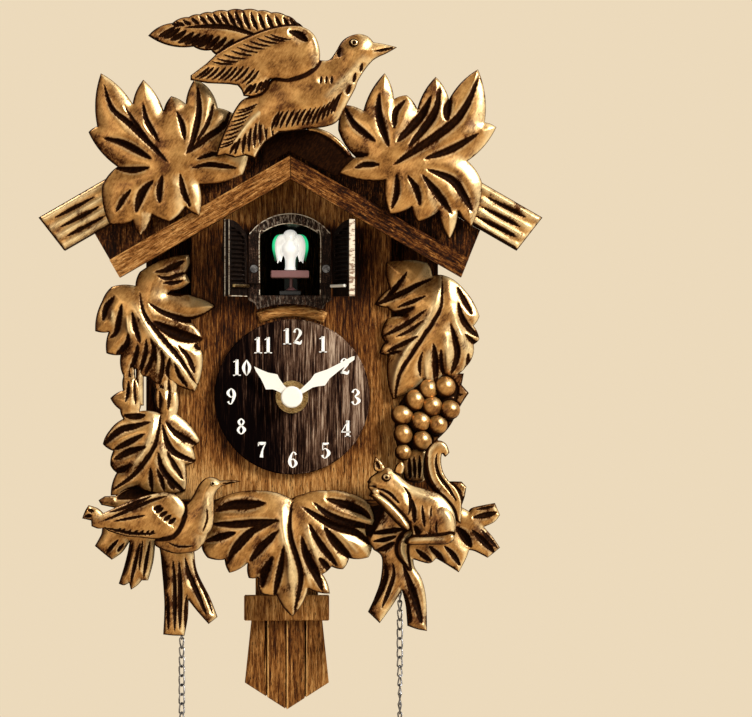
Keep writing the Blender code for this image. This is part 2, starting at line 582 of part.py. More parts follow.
# ---------------------------------------------------------------- chains and weights
for x, word in zip(CHAIN_X, ("left", "right")):
    eye = bpy.data.meshes.new(f"screw_eye_{word}")
    bm = bmesh.new()
    rings, sides, ring_r, wire_r = 20, 8, 2.4, 0.6
    loop = []
    for i in range(rings):
        a = 2 * math.pi * i / rings
        loop.append([
            bm.verts.new((
                x * MM + wire_r * MM * math.sin(2 * math.pi * j / sides),
                CHAIN_Y * MM + (ring_r + wire_r * math.cos(2 * math.pi * j / sides)) * math.sin(a) * MM,
                -57.6 * MM + (ring_r + wire_r * math.cos(2 * math.pi * j / sides)) * math.cos(a) * MM,
            ))
            for j in range(sides)
        ])
    for i in range(rings):
        for j in range(sides):
            k, m = (i + 1) % rings, (j + 1) % sides
            bm.faces.new((loop[i][j], loop[k][j], loop[k][m], loop[i][m]))
    eye = made(f"screw_eye_{word}", bm, STEEL, smooth=True)
    boolean(eye, rod(f"join_eye_shank_{word}", (x, CHAIN_Y, -55.6), (x, CHAIN_Y, -48.6), 0.9, where=cutters, segments=12), "UNION")
    cut(base, rod(f"cut_eye_{word}", (x, CHAIN_Y, -60), (x, CHAIN_Y, -48.3), 1.2, where=cutters, segments=12))
    line = bpy.data.curves.new(f"chain_{word}", "CURVE")
    line.dimensions = "3D"
    line.bevel_depth = CHAIN_D / 2 * MM
    line.bevel_resolution = 2
    line.use_fill_caps = True
    line.materials.append(STEEL)
    spline = line.splines.new("POLY")
    spline.points.add(20)
    for i, p in enumerate(spline.points):
        p.co = (x * MM, CHAIN_Y * MM, (CHAIN_TOP - GAP + (CHAIN_END - CHAIN_TOP + GAP) * i / 20) * MM, 1)
    chain = bpy.data.objects.new(f"chain_{word}", line)
    parts.objects.link(chain)
    cone = lathe(
        f"cone_{word}",
        [(0, -GAP), (1.2, -GAP), (2.0, -3), (7.5, -6), (10.4, -12), (CONE_R, -18), (10.2, -26), (8.0, -34), (4.6, -41), (1.6, -CONE_L), (0, -CONE_L)],
        (x, CHAIN_Y, CHAIN_END),
        BRONZE,
        steps=24,
    )
    carried(f"chain_{word}_pivot", (x, CHAIN_Y, -59.4), chain, cone)

# ---------------------------------------------------------------- crest carvings
LEAF_TL = [(-86.4, 147.8), (-71.9, 133.8), (-67.0, 144.8), (-57.8, 130.7), (-54.3, 137.3), (-47.7, 133.8), (-43.7, 144.9), (-37.5, 141.3), (-33.1, 132.0), (-24, 128), (-19, 116), (-21.7, 101.7), (-41.5, 97.2), (-41.5, 82.8), (-48.1, 86.7), (-55.2, 80.1), (-63.1, 83.2), (-68.4, 73.5), (-71.9, 80.5), (-82.4, 78.8), (-85.9, 96.4), (-78.9, 105.2), (-92.1, 121.0), (-88.1, 123.6)]
LEAF_TR = [(24.5, 133.4), (33.3, 130.7), (43.0, 147.8), (47.3, 136.0), (53.1, 137.7), (57.9, 131.6), (66.3, 146.1), (72.4, 136.0), (85.6, 149.6), (88.7, 125.4), (94.0, 123.2), (80.8, 107.8), (87.4, 98.1), (82.5, 77.9), (76.4, 84.9), (72.4, 71.8), (67.6, 84.9), (57.9, 80.1), (55.2, 86.7), (45.1, 83.6), (43.0, 99.0), (21.8, 102.1), (29.8, 109.6), (21.8, 121.9)]
VEINS_TL = [[(-49, 107.8), tip] for tip in ((-82, 141), (-64, 138), (-43, 139), (-26, 103.5), (-44, 88), (-66, 80), (-80, 83), (-86, 119))]
VEINS_TR = [[(56.1, 107.8), tip] for tip in ((81, 142), (64, 139), (43, 140), (27, 104), (48, 88), (71, 78), (80, 84), (88, 120))]
carving("leaf_top_left", LEAF_TL, CREST, 4.0, 4.0, VEINS_TL, 5.0)
carving("leaf_top_right", LEAF_TR, CREST, 4.0, 4.0, VEINS_TR, 5.0)
BIRD = [(-64.9, 164.6), (-47.2, 173.0), (-27.9, 175.6), (-5.8, 174.7), (3.4, 172.0), (9.9, 165.0), (13.9, 152.3), (18.3, 152.3), (20.9, 157.1), (25.0, 162.6), (30.6, 164.6), (37.7, 161.0), (48.2, 158.8), (35.9, 154.5), (32.4, 148.3), (25.3, 135.1), (20.9, 128.1), (13.0, 122.8), (-8.5, 121.0), (-16.4, 109.2), (-33.6, 109.6), (-27, 133.4), (-21.7, 136.9), (-22.5, 141.2), (-43.9, 143.1), (-33.6, 156.2)]
crest = carving("crest_bird", BIRD, CREST_OVER, 4.0, 5.0, [[(-60, 165), (-25, 166), (2, 160)], [(-30, 112), (-14, 124), (2, 130)]], 5.0)
boolean(crest, prism("join_crest_block", [(-12, 121.8), (12, 123.6), (21, 131), (18, 150), (-14, 150), (-17, 136)], CREST, CREST_OVER - 2, where=cutters), "UNION")

# ---------------------------------------------------------------- side and bottom carvings
LEFT_UPPER = [(-69.7, 57.7), (-47.3, 65.7), (-46.5, 62.1), (-48.8, 57.3), (-46.5, 52.8), (-56.8, 47.8), (-43.5, 45.8), (-35.1, 41.8), (-47.3, 35.3), (-40.5, 26.8), (-43.8, 24.3), (-40.8, 20.3), (-42.3, 12.4), (-44.3, 2.6), (-56.3, 7.9), (-60.3, 4.9), (-65.8, 9.3), (-69.2, 9.8), (-71.8, 12.9), (-77.7, 10.3), (-78.7, 19.3), (-85.2, 20.1), (-84.2, 29.8), (-90.4, 30.3), (-87.2, 44.3), (-82.7, 50.8), (-71.8, 51.2)]
carving("leaf_left_upper", LEFT_UPPER, LOW, 4.0, 4.5, [[(-69, 52), (-60, 36), (-52, 18), (-45, 4)], [(-60, 36), (-82, 26)], [(-52, 18), (-68, 14)], [(-62, 40), (-86, 40)], [(-60, 40), (-40, 42)], [(-55, 27), (-42, 25)]], 5.0)
LEFT_LOWER = [(-60.4, -7.5), (-63, -1), (-62, 4.2), (-52.5, 2.5), (-52.5, -8.0), (-42.0, -20.1), (-45.7, -23.3), (-44.1, -29.7), (-48.9, -31.3), (-48.9, -43.4), (-61.5, -43.4), (-66.8, -43.4), (-70.5, -41.3), (-83.2, -45.5), (-80.5, -35.0), (-83.4, -31.5), (-82.1, -24.9), (-86.9, -21.8), (-83.7, -15.4), (-77.4, -10.1), (-78.9, -5.9), (-83.4, -0.6), (-77.5, 3.0), (-77.5, 9.0), (-72, 9.0), (-69, 4.0), (-70, -6.6)]
carving("leaf_left_lower", LEFT_LOWER, LOW, 4.0, 4.5, [[(-60, -8), (-64, -25), (-66, -40)], [(-64, -25), (-82, -20)], [(-65, -32), (-80, -42)], [(-63, -22), (-46, -22)], [(-64, -30), (-50, -38)]], 5.0)
RIGHT = [(43.6, 61.9), (62.6, 61.9), (65.2, 55.8), (69.6, 56.2), (77.1, 52.2), (86.8, 37.3), (84.1, 32.8), (86.8, 26.7), (84.1, 24.1), (83.7, 18.8), (80.6, 13.9), (75.3, 9.5), (70.1, 10.4), (63.4, 4.4), (61.2, 7.8), (48.9, -0.2), (46.7, -1.1), (44.5, 19.2), (40.5, 20.1), (43.2, 25.3), (41.4, 28.4), (44.1, 35.9), (51.1, 37.3), (44.1, 41.2), (38.4, 42.6), (45.4, 50.0)]
carving("leaf_right", RIGHT, LOW, 4.0, 4.5, [[(67, 56), (66, 40), (58, 20), (48, 2)], [(66, 40), (84, 36)], [(63, 30), (83, 24)], [(59, 22), (74, 13)], [(66, 44), (46, 46)], [(60, 25), (46, 27)]], 5.0)

GRAPES = [(70.8, 2.2, 4.4), (57.3, -1.4, 4.4), (65.1, -4.5, 4.4), (72.9, -6.4, 4.2), (51.1, -8.2, 4.4), (59.8, -12.3, 4.4), (67.6, -13.5, 4.2), (51.5, -17.3, 4.2), (59.8, -20.5, 4.2), (51.5, -25.9, 3.2)]
stalk = [(48, -4), (54, 1.0), (62, 1.0), (68, 6), (75, 6), (80, 2), (76.5, -8), (72, -18), (64, -22.5), (60, -25.2), (59.3, -37), (54.7, -37), (54.5, -28), (48, -28)]
grapes = prism("grapes", stalk, LOW, LOW - 4.0, BRONZE)
for i, (x, z, r) in enumerate(GRAPES):
    bm = bmesh.new()
    bmesh.ops.create_icosphere(bm, subdivisions=2, radius=r * MM, matrix=Matrix.Translation(Vector((x, LOW - 4.2, z)) * MM))
    boolean(grapes, made(f"join_grape_{i}", bm, None, cutters), "UNION")

SQUIRREL = [(35.8, -38.0), (37.5, -33.5), (40.0, -27.6), (43.5, -30.5), (49, -34), (55.2, -40.9), (66.9, -45.0), (70, -44.6), (64.5, -38), (61.3, -33.6), (61.8, -27.5), (64, -22.9), (68.4, -18.9), (71.5, -21), (71.7, -25.0), (68, -27), (66.8, -31), (70, -37), (72.2, -38.5), (79.9, -40.9), (76.4, -49.1), (74.9, -55.0), (74.0, -65.0), (64, -66.6), (52.9, -66.1), (50, -62), (44, -58), (36.4, -43.8)]
carving("squirrel", SQUIRREL, LOW_OVER, 4.0, 6.0, [[(72, -52), (64, -56), (58, -62)]], 5.0)
RIGHT_TWIGS = [(45, -40), (80, -45), (93.9, -48.8), (96.3, -55.0), (86, -59.5), (96.3, -69.0), (91.0, -74.3), (80.5, -70.5), (77.5, -80.8), (66, -76.8), (62.2, -93.1), (62.6, -107.8), (53.5, -105.4), (51.1, -89.6), (40.8, -104.3), (35.3, -99.3), (41.7, -80), (42.4, -71), (42, -55)]
carving("twigs_right", RIGHT_TWIGS, LOW, 4.5, 2.8, [], 6.0)

SMALL_BIRD = [(-22.5, -38.9), (-31, -37.4), (-37.0, -37.0), (-41, -38.6), (-43.7, -42.5), (-48.1, -48.6), (-54.8, -44.2), (-67.2, -44.2), (-84.9, -52.5), (-93.3, -49.8), (-95.5, -55.3), (-91.1, -59.8), (-85.5, -60.9), (-70.4, -64.3), (-62.7, -63.9), (-58.2, -70.4), (-51.5, -71.5), (-43.1, -69.8), (-35.9, -60.4), (-35.3, -46.9), (-33.6, -41.4)]
carving("small_bird", SMALL_BIRD, LOW_OVER, 4.0, 5.5, [[(-92, -55), (-70, -55), (-56, -56)]], 5.0)
LEFT_TWIGS = [(-80, -50), (-48, -46), (-46, -68), (-38.6, -84), (-33.9, -101.1), (-38.6, -104.4), (-47.0, -93.8), (-47.6, -109.7), (-58.7, -109.7), (-60.0, -76), (-65.0, -78), (-65.4, -84.3), (-69.3, -84.3), (-73.8, -88.8), (-79.4, -86.3), (-77.5, -72), (-82.7, -74.8), (-90.5, -68.7), (-84, -60)]
carving("twigs_left", LEFT_TWIGS, LOW, 4.5, 2.8, [], 6.0)

BOTTOM = [(0.2, -47.0), (-14.0, -43.2), (-35.2, -47.7), (-41.3, -69.4), (-38.5, -74.2), (-30.7, -75.0), (-28.5, -81.1), (-20.1, -76.6), (-19.6, -83.4), (-15.2, -83.3), (-14.0, -90.6), (-6.7, -91.2), (0.5, -101.2), (7.8, -88.3), (17.8, -90.6), (14.4, -81.7), (18.6, -78.2), (23.9, -79.4), (26.7, -74.4), (35.7, -73.9), (37.3, -68.3), (35.1, -62.1), (38.4, -57.7), (36.2, -49.3), (26.7, -44.3), (16.7, -43.2), (5.5, -44.9)]
carving("leaf_bottom", BOTTOM, LOW, 4.5, 4.5, [[(0, -50), (0, -75), (0.5, -98)], [(-4, -52), (-20, -60), (-36, -70)], [(-3, -56), (-14, -70), (-24, -78)], [(4, -52), (20, -58), (34, -70)], [(4, -56), (12, -72), (16, -86)]], 5.0)
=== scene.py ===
"""Looks of the wall cuckoo clock: carvings, boards, dial, cuckoo, chains, materials, light and camera.

Lengths are in millimetres and turned into metres by MM where a mesh is made. The clock faces -Y, +Z is up.
"""

import itertools
import math

import bmesh
import bpy
import numpy as np
from mathutils import Matrix, Vector
from mathutils.geometry import delaunay_2d_cdt
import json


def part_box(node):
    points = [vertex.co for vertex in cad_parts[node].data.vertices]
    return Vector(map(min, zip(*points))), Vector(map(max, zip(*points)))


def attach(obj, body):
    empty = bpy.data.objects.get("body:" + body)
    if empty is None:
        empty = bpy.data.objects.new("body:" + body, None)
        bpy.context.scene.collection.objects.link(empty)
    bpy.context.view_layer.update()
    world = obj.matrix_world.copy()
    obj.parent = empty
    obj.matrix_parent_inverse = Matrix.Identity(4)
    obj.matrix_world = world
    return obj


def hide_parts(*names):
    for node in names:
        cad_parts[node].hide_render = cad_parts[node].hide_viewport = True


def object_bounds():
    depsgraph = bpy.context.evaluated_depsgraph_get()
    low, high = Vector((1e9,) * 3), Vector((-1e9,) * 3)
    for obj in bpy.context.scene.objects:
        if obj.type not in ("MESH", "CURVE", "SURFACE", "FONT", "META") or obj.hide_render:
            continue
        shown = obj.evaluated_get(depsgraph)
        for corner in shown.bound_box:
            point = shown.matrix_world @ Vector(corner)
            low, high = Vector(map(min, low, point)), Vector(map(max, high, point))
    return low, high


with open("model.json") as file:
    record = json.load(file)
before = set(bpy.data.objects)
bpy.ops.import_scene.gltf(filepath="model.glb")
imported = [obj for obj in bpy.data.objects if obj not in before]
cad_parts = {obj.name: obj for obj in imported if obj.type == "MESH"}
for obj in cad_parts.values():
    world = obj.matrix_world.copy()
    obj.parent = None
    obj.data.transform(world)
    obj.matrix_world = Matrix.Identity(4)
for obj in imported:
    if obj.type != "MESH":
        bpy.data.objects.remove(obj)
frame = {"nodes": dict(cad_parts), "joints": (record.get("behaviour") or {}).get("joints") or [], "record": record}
cad_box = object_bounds()
MM = 0.001
JOINTS = {joint["name"]: joint for joint in frame["joints"]}


def mm_box(node):
    """Lowest and highest corner of a CAD node, in millimetres."""
    low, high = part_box(node)
    return low / MM, high / MM


def back_of(node):
    """Where a CAD node's back lies along Y, in millimetres."""
    return mm_box(node)[1].y


# ---------------------------------------------------------------- camera, floor and light
VIEW_WIDTH = 0.3459  # width seen at the clock's front, in metres
VIEW_CENTRE = Vector((0.0391, -0.06, 0.0177))
VIEW_DISTANCE = 2.0


def add_camera():
    """Level and square to the clock's front, as far off as the photographer stood."""
    data = bpy.data.cameras.new("camera")
    data.sensor_width = 36
    data.lens = data.sensor_width * VIEW_DISTANCE / VIEW_WIDTH
    camera = bpy.data.objects.new("camera", data)
    bpy.context.scene.collection.objects.link(camera)
    camera.location = VIEW_CENTRE - Vector((0, VIEW_DISTANCE, 0))
    camera.rotation_euler = (math.radians(90), 0, 0)
    bpy.context.scene.camera = camera


def add_light(name, place, size, power, colour, target=(0, -0.06, 0.03)):
    """A soft rectangular light that faces the target."""
    data = bpy.data.lights.new(name, "AREA")
    data.shape = "RECTANGLE"
    data.size, data.size_y = size
    data.energy = power
    data.color = colour
    light = bpy.data.objects.new(name, data)
    bpy.context.scene.collection.objects.link(light)
    light.location = place
    light.rotation_euler = (Vector(target) - Vector(place)).to_track_quat("-Z", "Y").to_euler()


def add_room(tree):
    """A pale cream backdrop behind the clock that fades to a dimmer room in front of it."""
    where = tree.nodes.new("ShaderNodeTexCoord")
    split = tree.nodes.new("ShaderNodeSeparateXYZ")
    tree.links.new(where.outputs["Generated"], split.inputs[0])
    fade = tree.nodes.new("ShaderNodeMapRange")
    fade.interpolation_type = "SMOOTHSTEP"
    for key, value in (("From Min", -0.1), ("From Max", 0.8)):
        fade.inputs[key].default_value = value
    tree.links.new(split.outputs["Y"], fade.inputs["Value"])
    tint = tree.nodes.new("ShaderNodeMix")
    tint.data_type = "RGBA"
    tree.links.new(fade.outputs["Result"], tint.inputs[0])
    tint.inputs[6].default_value = (0.22, 0.19, 0.15, 1)
    tint.inputs[7].default_value = (0.84, 0.70, 0.50, 1)
    tree.links.new(tint.outputs[2], tree.nodes["Background"].inputs["Color"])


def add_studio():
    """The plain room: backdrop, three lights and a pale floor."""
    world = bpy.data.worlds.new("studio")
    bpy.context.scene.world = world
    world.use_nodes = True
    add_room(world.node_tree)
    bpy.context.scene.view_settings.view_transform = "Standard"
    add_light("key", (0.95, -0.80, 0.70), (0.35, 0.5), 30, (1.0, 0.96, 0.88))
    add_light("fill", (-0.7, -1.3, 0.25), (0.9, 0.9), 5, (1.0, 0.93, 0.82))
    add_light("edge", (-0.45, 0.15, 0.8), (0.5, 0.3), 4, (1.0, 0.96, 0.9))
    bpy.ops.mesh.primitive_plane_add(size=3.0, location=(0, 0, cad_box[0].z - 0.006))
    floor = bpy.context.object
    floor.name = "floor"
    look = Finish("pale_floor", Roughness=0.8)
    grain = look.noise(look.mm(), 0.02, 4)
    look.colour(look.ramp(grain, (0.3, (0.46, 0.40, 0.32)), (0.7, (0.52, 0.46, 0.37))))
    floor.data.materials.append(look.material)


# ---------------------------------------------------------------- material helpers
class Finish:
    """A Principled material, with short calls for the nodes that feed it."""

    def __init__(self, name, **sockets):
        self.material = bpy.data.materials.new(name)
        self.material.use_nodes = True
        self.tree = self.material.node_tree
        self.shader = self.tree.nodes["Principled BSDF"]
        for socket, value in sockets.items():
            self.shader.inputs[socket.replace("_", " ")].default_value = value
        self.where = self.add("ShaderNodeTexCoord").outputs["Object"]

    def put(self, socket, value):
        if isinstance(value, bpy.types.NodeSocket):
            self.tree.links.new(value, socket)
        elif socket.type == "RGBA" and len(value) == 3:
            socket.default_value = (*value, 1)
        else:
            socket.default_value = value

    def add(self, kind, settings=None, **inputs):
        node = self.tree.nodes.new(kind)
        for key, value in (settings or {}).items():
            setattr(node, key, value)
        for key, value in inputs.items():
            self.put(node.inputs[key.replace("_", " ")], value)
        return node

    def mm(self, stretch=(1, 1, 1), turn=(0, 0, 0)):
        """The piece's own coordinates in millimetres, stretched and turned."""
        node = self.add("ShaderNodeMapping", {"vector_type": "TEXTURE"}, Vector=self.where)
        node.inputs["Rotation"].default_value = [math.radians(a) for a in turn]
        node.inputs["Scale"].default_value = [MM * s for s in stretch]
        return node.outputs["Vector"]

    def noise(self, vector, scale, detail=5, rough=0.55, warp=0.0):
        node = self.add(
            "ShaderNodeTexNoise", Vector=vector, Scale=scale, Detail=detail, Roughness=rough,
            Distortion=warp,
        )
        return node.outputs["Fac"]

    def painted(self, name):
        return self.add("ShaderNodeAttribute", {"attribute_name": name}).outputs["Fac"]

    def part(self, axis):
        """One coordinate of the piece, in metres."""
        return self.add("ShaderNodeSeparateXYZ", Vector=self.where).outputs[axis]

    def ramp(self, value, *stops):
        node = self.add("ShaderNodeValToRGB", Fac=value)
        elements = node.color_ramp.elements
        while len(elements) < len(stops):
            elements.new(0.5)
        for element, (place, colour) in zip(elements, stops):
            element.position = place
            element.color = (*colour, 1) if hasattr(colour, "__len__") else (colour, colour, colour, 1)
        return node.outputs["Color"]

    def math(self, kind, *values):
        node = self.add("ShaderNodeMath", {"operation": kind})
        for socket, value in zip(node.inputs, values):
            self.put(socket, value)
        return node.outputs[0]

    def total(self, shift, *terms):
        """The shift and each value times its weight, added up."""
        for value, weight in terms:
            shift = self.math("MULTIPLY_ADD", value, weight, shift)
        return shift

    def fade(self, value, low, high, out_low=0.0, out_high=1.0):
        """Smoothly from one value to another while the input goes from low to high."""
        node = self.add("ShaderNodeMapRange", {"interpolation_type": "SMOOTHSTEP"}, Value=value)
        for key, number in zip(
            ("From Min", "From Max", "To Min", "To Max"), (low, high, out_low, out_high),
        ):
            node.inputs[key].default_value = number
        return node.outputs["Result"]

    def mix(self, factor, a, b, kind="MIX"):
        node = self.add("ShaderNodeMix", {"data_type": "RGBA", "blend_type": kind})
        for socket, value in zip((node.inputs[0], node.inputs[6], node.inputs[7]), (factor, a, b)):
            self.put(socket, value)
        return node.outputs[2]

    def colour(self, value):
        self.put(self.shader.inputs["Base Color"], value)

    def rough(self, value):
        self.put(self.shader.inputs["Roughness"], value)

    def bump(self, height, distance, strength=1.0):
        """Distance in millimetres. A second call adds to the first."""
        node = self.add("ShaderNodeBump", Height=height, Strength=strength)
        node.inputs["Distance"].default_value = distance * MM
        socket = self.shader.inputs["Normal"]
        if socket.is_linked:
            self.put(node.inputs["Normal"], socket.links[0].from_socket)
        self.put(socket, node.outputs["Normal"])


# ---------------------------------------------------------------- materials
PENDULUM_X = -2.5
PLANK_JOINTS = (-9.4, -0.4, 8.6)  # measured across from PENDULUM_X
GOLD = (0.39, 0.185, 0.050)
# PALE_GOLD colours rubbed paint and painted highlight; BURNT_BROWN and UMBER colour the wash and painted shade.
PALE_GOLD = (0.90, 0.70, 0.38)
BURNT_BROWN = (0.070, 0.020, 0.003)
BRONZE_BROWN = (0.12, 0.042, 0.009)
UMBER = (0.005, 0.0014, 0.0004)


def carved_bronze():
    """Gold-brown paint, near black in the gouges' wash and painted shade, pale on rubbed edges and painted
    highlight.
    """
    look = Finish("carved_bronze")
    here = look.mm()
    patches = look.noise(here, 0.11, 4, 0.6)
    brushed = look.noise(look.mm((1, 1, 3.2), (0, 35, 0)), 1.3, 6, 0.75)
    worn = look.total(0.0, (patches, 0.60), (brushed, 0.40))
    body = look.ramp(worn, (0.40, BRONZE_BROWN), (0.50, GOLD), (0.62, (0.62, 0.34, 0.11)))
    # The rub attribute holds rubbed edges and painted highlight.
    rub = look.math("MULTIPLY", look.painted("rub"), look.fade(worn, 0.34, 0.60, 0.35, 1.0))
    body = look.mix(rub, body, PALE_GOLD)
    # The dark attribute holds the gouges' wash and painted shade.
    shade_plus_wash = look.total(look.painted("dark"), (look.fade(worn, 0.48, 0.38), 0.40))
    shade_and_wash = look.fade(shade_plus_wash, 0.08, 0.92)
    # Burnt brown, then umber: the colours of the wash and of the painted shade.
    burnt = look.mix(look.fade(shade_and_wash, 0.0, 0.6), body, BURNT_BROWN)
    shade_and_wash_tone = look.mix(look.fade(brushed, 0.40, 0.70), UMBER, (0.022, 0.007, 0.0018))
    look.colour(look.mix(look.fade(shade_and_wash, 0.5, 1.0), burnt, shade_and_wash_tone))
    look.rough(look.fade(look.math("ADD", brushed, shade_and_wash), 0.3, 1.3, 0.30, 0.6))
    look.put(look.shader.inputs["Metallic"], look.fade(shade_and_wash, 0.0, 0.8, 0.62, 0.0))
    look.put(look.shader.inputs["Specular IOR Level"], look.fade(shade_and_wash, 0.1, 0.8, 0.35, 0.02))
    look.bump(brushed, 0.08, 0.45)
    look.bump(look.noise(here, 4.0, 4), 0.03, 0.5)
    return look.material


def stained_wood(
    name, turn=0.0, gold=0.5, zones=None, across=1.0, specks=0.0, dark=(0.007, 0.002, 0.0006),
):
    """A dark stain brushed through to golden brown along the grain. The grain runs up Z, turned about Y."""
    look = Finish(name, Specular_IOR_Level=0.06)
    long_grain = look.mm((1, 1, 13), (0, turn, 0))
    streaks = look.noise(long_grain, 0.85 * across, 8, 0.76, 0.35)
    fine = look.noise(look.mm((1, 1, 14), (0, turn, 0)), 2.4 * across, 5, 0.75)
    patches = look.noise(look.mm((1, 1, 2.5), (0, turn, 0)), 0.05, 3, 0.6)
    rub = look.total(gold * 0.40 - 1.07, (streaks, 1.30), (fine, 1.05), (patches, 0.45))
    if zones:
        rub = look.math("ADD", rub, zones(look))
    if specks:
        grit = look.noise(look.mm((1, 1, 2.2), (0, turn, 0)), 1.1, 3, 0.8)
        rub = look.math("SUBTRACT", look.total(rub, (grit, specks)), 0.5 * specks)
    stain = look.ramp(
        rub,
        (0.38, dark),
        (0.50, (0.044, 0.011, 0.002)),
        (0.62, (0.135, 0.046, 0.009)),
        (0.76, (0.29, 0.125, 0.032)),
        (0.96, (0.56, 0.31, 0.11)),
    )
    pores = look.fade(look.noise(look.mm((1, 1, 12), (0, turn, 0)), 3.6, 3, 0.6), 0.34, 0.45)
    look.colour(look.mix(pores, (0.010, 0.005, 0.003), stain))
    look.rough(look.fade(rub, 0.35, 0.9, 0.55, 0.38))
    look.bump(streaks, 0.16, 0.5)
    look.bump(pores, 0.06, 0.5)
    return look.material


def front_zones(look):
    """How much lighter the case's front is along its sides and foot. It is darker beside the doors."""
    x, z = look.part("X"), look.part("Z")
    wide = look.math("ABSOLUTE", x)
    sides = look.fade(wide, 0.026, 0.045, 0.0, 0.17)
    beside_doors = look.fade(z, 0.036, 0.050, 0.0, -0.10)
    under_roof = look.math("MAXIMUM", beside_doors, look.fade(z, 0.074, 0.082, -0.20, 0.17))
    foot = look.fade(z, -0.020, -0.040, 0.0, 0.26)
    return look.total(0.0, (sides, 1.0), (under_roof, 1.0), (foot, 1.0))


def pendulum_zones(look):
    """The pendulum's boards: more gold to the right, rubbed pale beside each joint."""
    x = look.math("SUBTRACT", look.part("X"), PENDULUM_X * MM)
    level = look.fade(x, 0.004, 0.014, 0.0, 0.10)
    for joint in PLANK_JOINTS:
        gap = look.math("ABSOLUTE", look.math("SUBTRACT", x, (joint + 0.62) * MM))
        level = look.math("ADD", level, look.fade(gap, 0.0005, 0.0002, 0.0, 0.40))
    return level


def dial_wood():
    """Near black with vertical streaks, browner towards the right and the top."""
    look = Finish("dial_wood", Roughness=0.5, Specular_IOR_Level=0.0)
    x, z = look.part("X"), look.part("Z")
    streaks = look.noise(look.mm((1, 1, 14)), 0.55, 6, 0.7, 0.3)
    fine = look.noise(look.mm((1, 1, 30)), 1.8, 5, 0.75)
    side = look.math(
        "ADD", look.fade(x, -0.030, 0.016, -0.21, 0.04), look.fade(z, -0.03, 0.03, -0.03, 0.05),
    )
    rub = look.total(-0.45, (streaks, 0.95), (fine, 0.95), (side, 1.0))
    look.colour(look.ramp(
        rub,
        (0.36, (0.0025, 0.0014, 0.0015)),
        (0.49, (0.020, 0.009, 0.006)),
        (0.60, (0.12, 0.066, 0.042)),
        (0.75, (0.42, 0.32, 0.24)),
    ))
    look.bump(fine, 0.05, 0.4)
    return look.material


def frame_wood(name="frame_wood", light=1.0, dashes=False):
    """Grey-brown wood with a fine short grain. A frame's head and sill have short pale dashes."""
    look = Finish(name, Roughness=0.55, Specular_IOR_Level=0.08)
    grain = look.noise(look.mm((1, 1, 9)), 1.3, 6, 0.75, 0.2)
    specks = look.noise(look.mm(), 1.6, 4, 0.7)
    mixed = look.total(-0.31, (grain, 0.85), (specks, 0.65))
    tones = (
        (0.40, (0.004, 0.0016, 0.001)),
        (0.52, (0.028, 0.013, 0.008)),
        (0.62, (0.100, 0.055, 0.036)),
        (0.76, (0.36, 0.26, 0.20)),
    )
    wood = look.ramp(mixed, *((place, [c * light for c in colour]) for place, colour in tones))
    if dashes:
        z = look.part("Z")
        where = look.math(
            "MAXIMUM", look.fade(z, 0.0735, 0.0765, 0.0, 0.75), look.fade(z, 0.0475, 0.0450, 0.0, 0.35),
        )
        dash = look.fade(look.noise(look.mm((0.7, 1, 2.4)), 1.0, 3, 0.6), 0.50, 0.62)
        wood = look.mix(look.math("MULTIPLY", where, dash), wood, (0.30, 0.24, 0.19))
    look.colour(wood)
    look.bump(mixed, 0.12, 0.5)
    return look.material


def cream_edge():
    """Pale paint with short brown dashes across it."""
    look = Finish("cream_edge", Roughness=0.5)
    dash = look.noise(look.mm((3, 3, 0.8)), 0.8, 3, 0.6)
    cloud = look.noise(look.mm(), 1.5, 3)
    paint = look.mix(cloud, (0.46, 0.38, 0.28), (0.66, 0.60, 0.49))
    look.colour(look.mix(look.fade(dash, 0.50, 0.60), paint, (0.16, 0.085, 0.045)))
    look.bump(cloud, 0.06, 0.4)
    return look.material


def plastic(name, colour, rough, speckle=0.02, **sockets):
    """Moulded plastic: faintly mottled, with a fine skin texture."""
    look = Finish(name, **sockets)
    cloud = look.noise(look.mm(), 0.35, 3)
    low = [max(0.0, c * (1 - 4 * speckle)) for c in colour]
    look.colour(look.mix(cloud, low, colour))
    look.rough(look.fade(look.noise(look.mm(), 2.0, 3), 0.3, 0.7, rough * 0.85, rough * 1.15))
    look.bump(look.noise(look.mm(), 6.0, 3), 0.02, 0.4)
    return look.material


def metal(name, colour, tarnish, rough):
    """Plated metal with cloudy tarnish and fine scratches."""
    look = Finish(name, Metallic=1.0)
    cloud = look.noise(look.mm(), 0.5, 5, 0.65)
    scratch = look.noise(look.mm((12, 1, 1), (0, 20, 0)), 2.4, 4, 0.7)
    look.colour(look.mix(look.fade(cloud, 0.35, 0.68), tarnish, colour))
    look.rough(look.fade(scratch, 0.3, 0.7, rough * 0.75, rough * 1.35))
    look.bump(scratch, 0.03, 0.35)
    return look.material


def lamp_green():
    """The lit green lamp behind the cuckoo."""
    look = Finish("lamp_green", Roughness=0.25)
    cloud = look.noise(look.mm(), 0.6, 3)
    look.colour(look.mix(cloud, (0.03, 0.55, 0.22), (0.10, 0.85, 0.42)))
    look.put(look.shader.inputs["Emission Color"], look.mix(cloud, (0.02, 0.55, 0.20), (0.10, 1.0, 0.45)))
    look.shader.inputs["Emission Strength"].default_value = 3.0
    return look.material


def wing_glow():
    """Clear wings that the green lamp behind them lights, brightest near the lamp's height."""
    look = Finish("wing_glow", Roughness=0.3)
    z = look.part("Z")
    near = look.math("MULTIPLY", look.fade(z, 0.063, 0.070), look.fade(z, 0.0775, 0.0725))
    cloud = look.noise(look.mm(), 0.5, 3)
    look.colour(look.mix(cloud, (0.01, 0.12, 0.05), (0.02, 0.25, 0.10)))
    light = look.mix(near, (0.0, 0.012, 0.005), (0.02, 0.75, 0.28))
    look.put(look.shader.inputs["Emission Color"], light)
    look.shader.inputs["Emission Strength"].default_value = 0.8
    return look.material


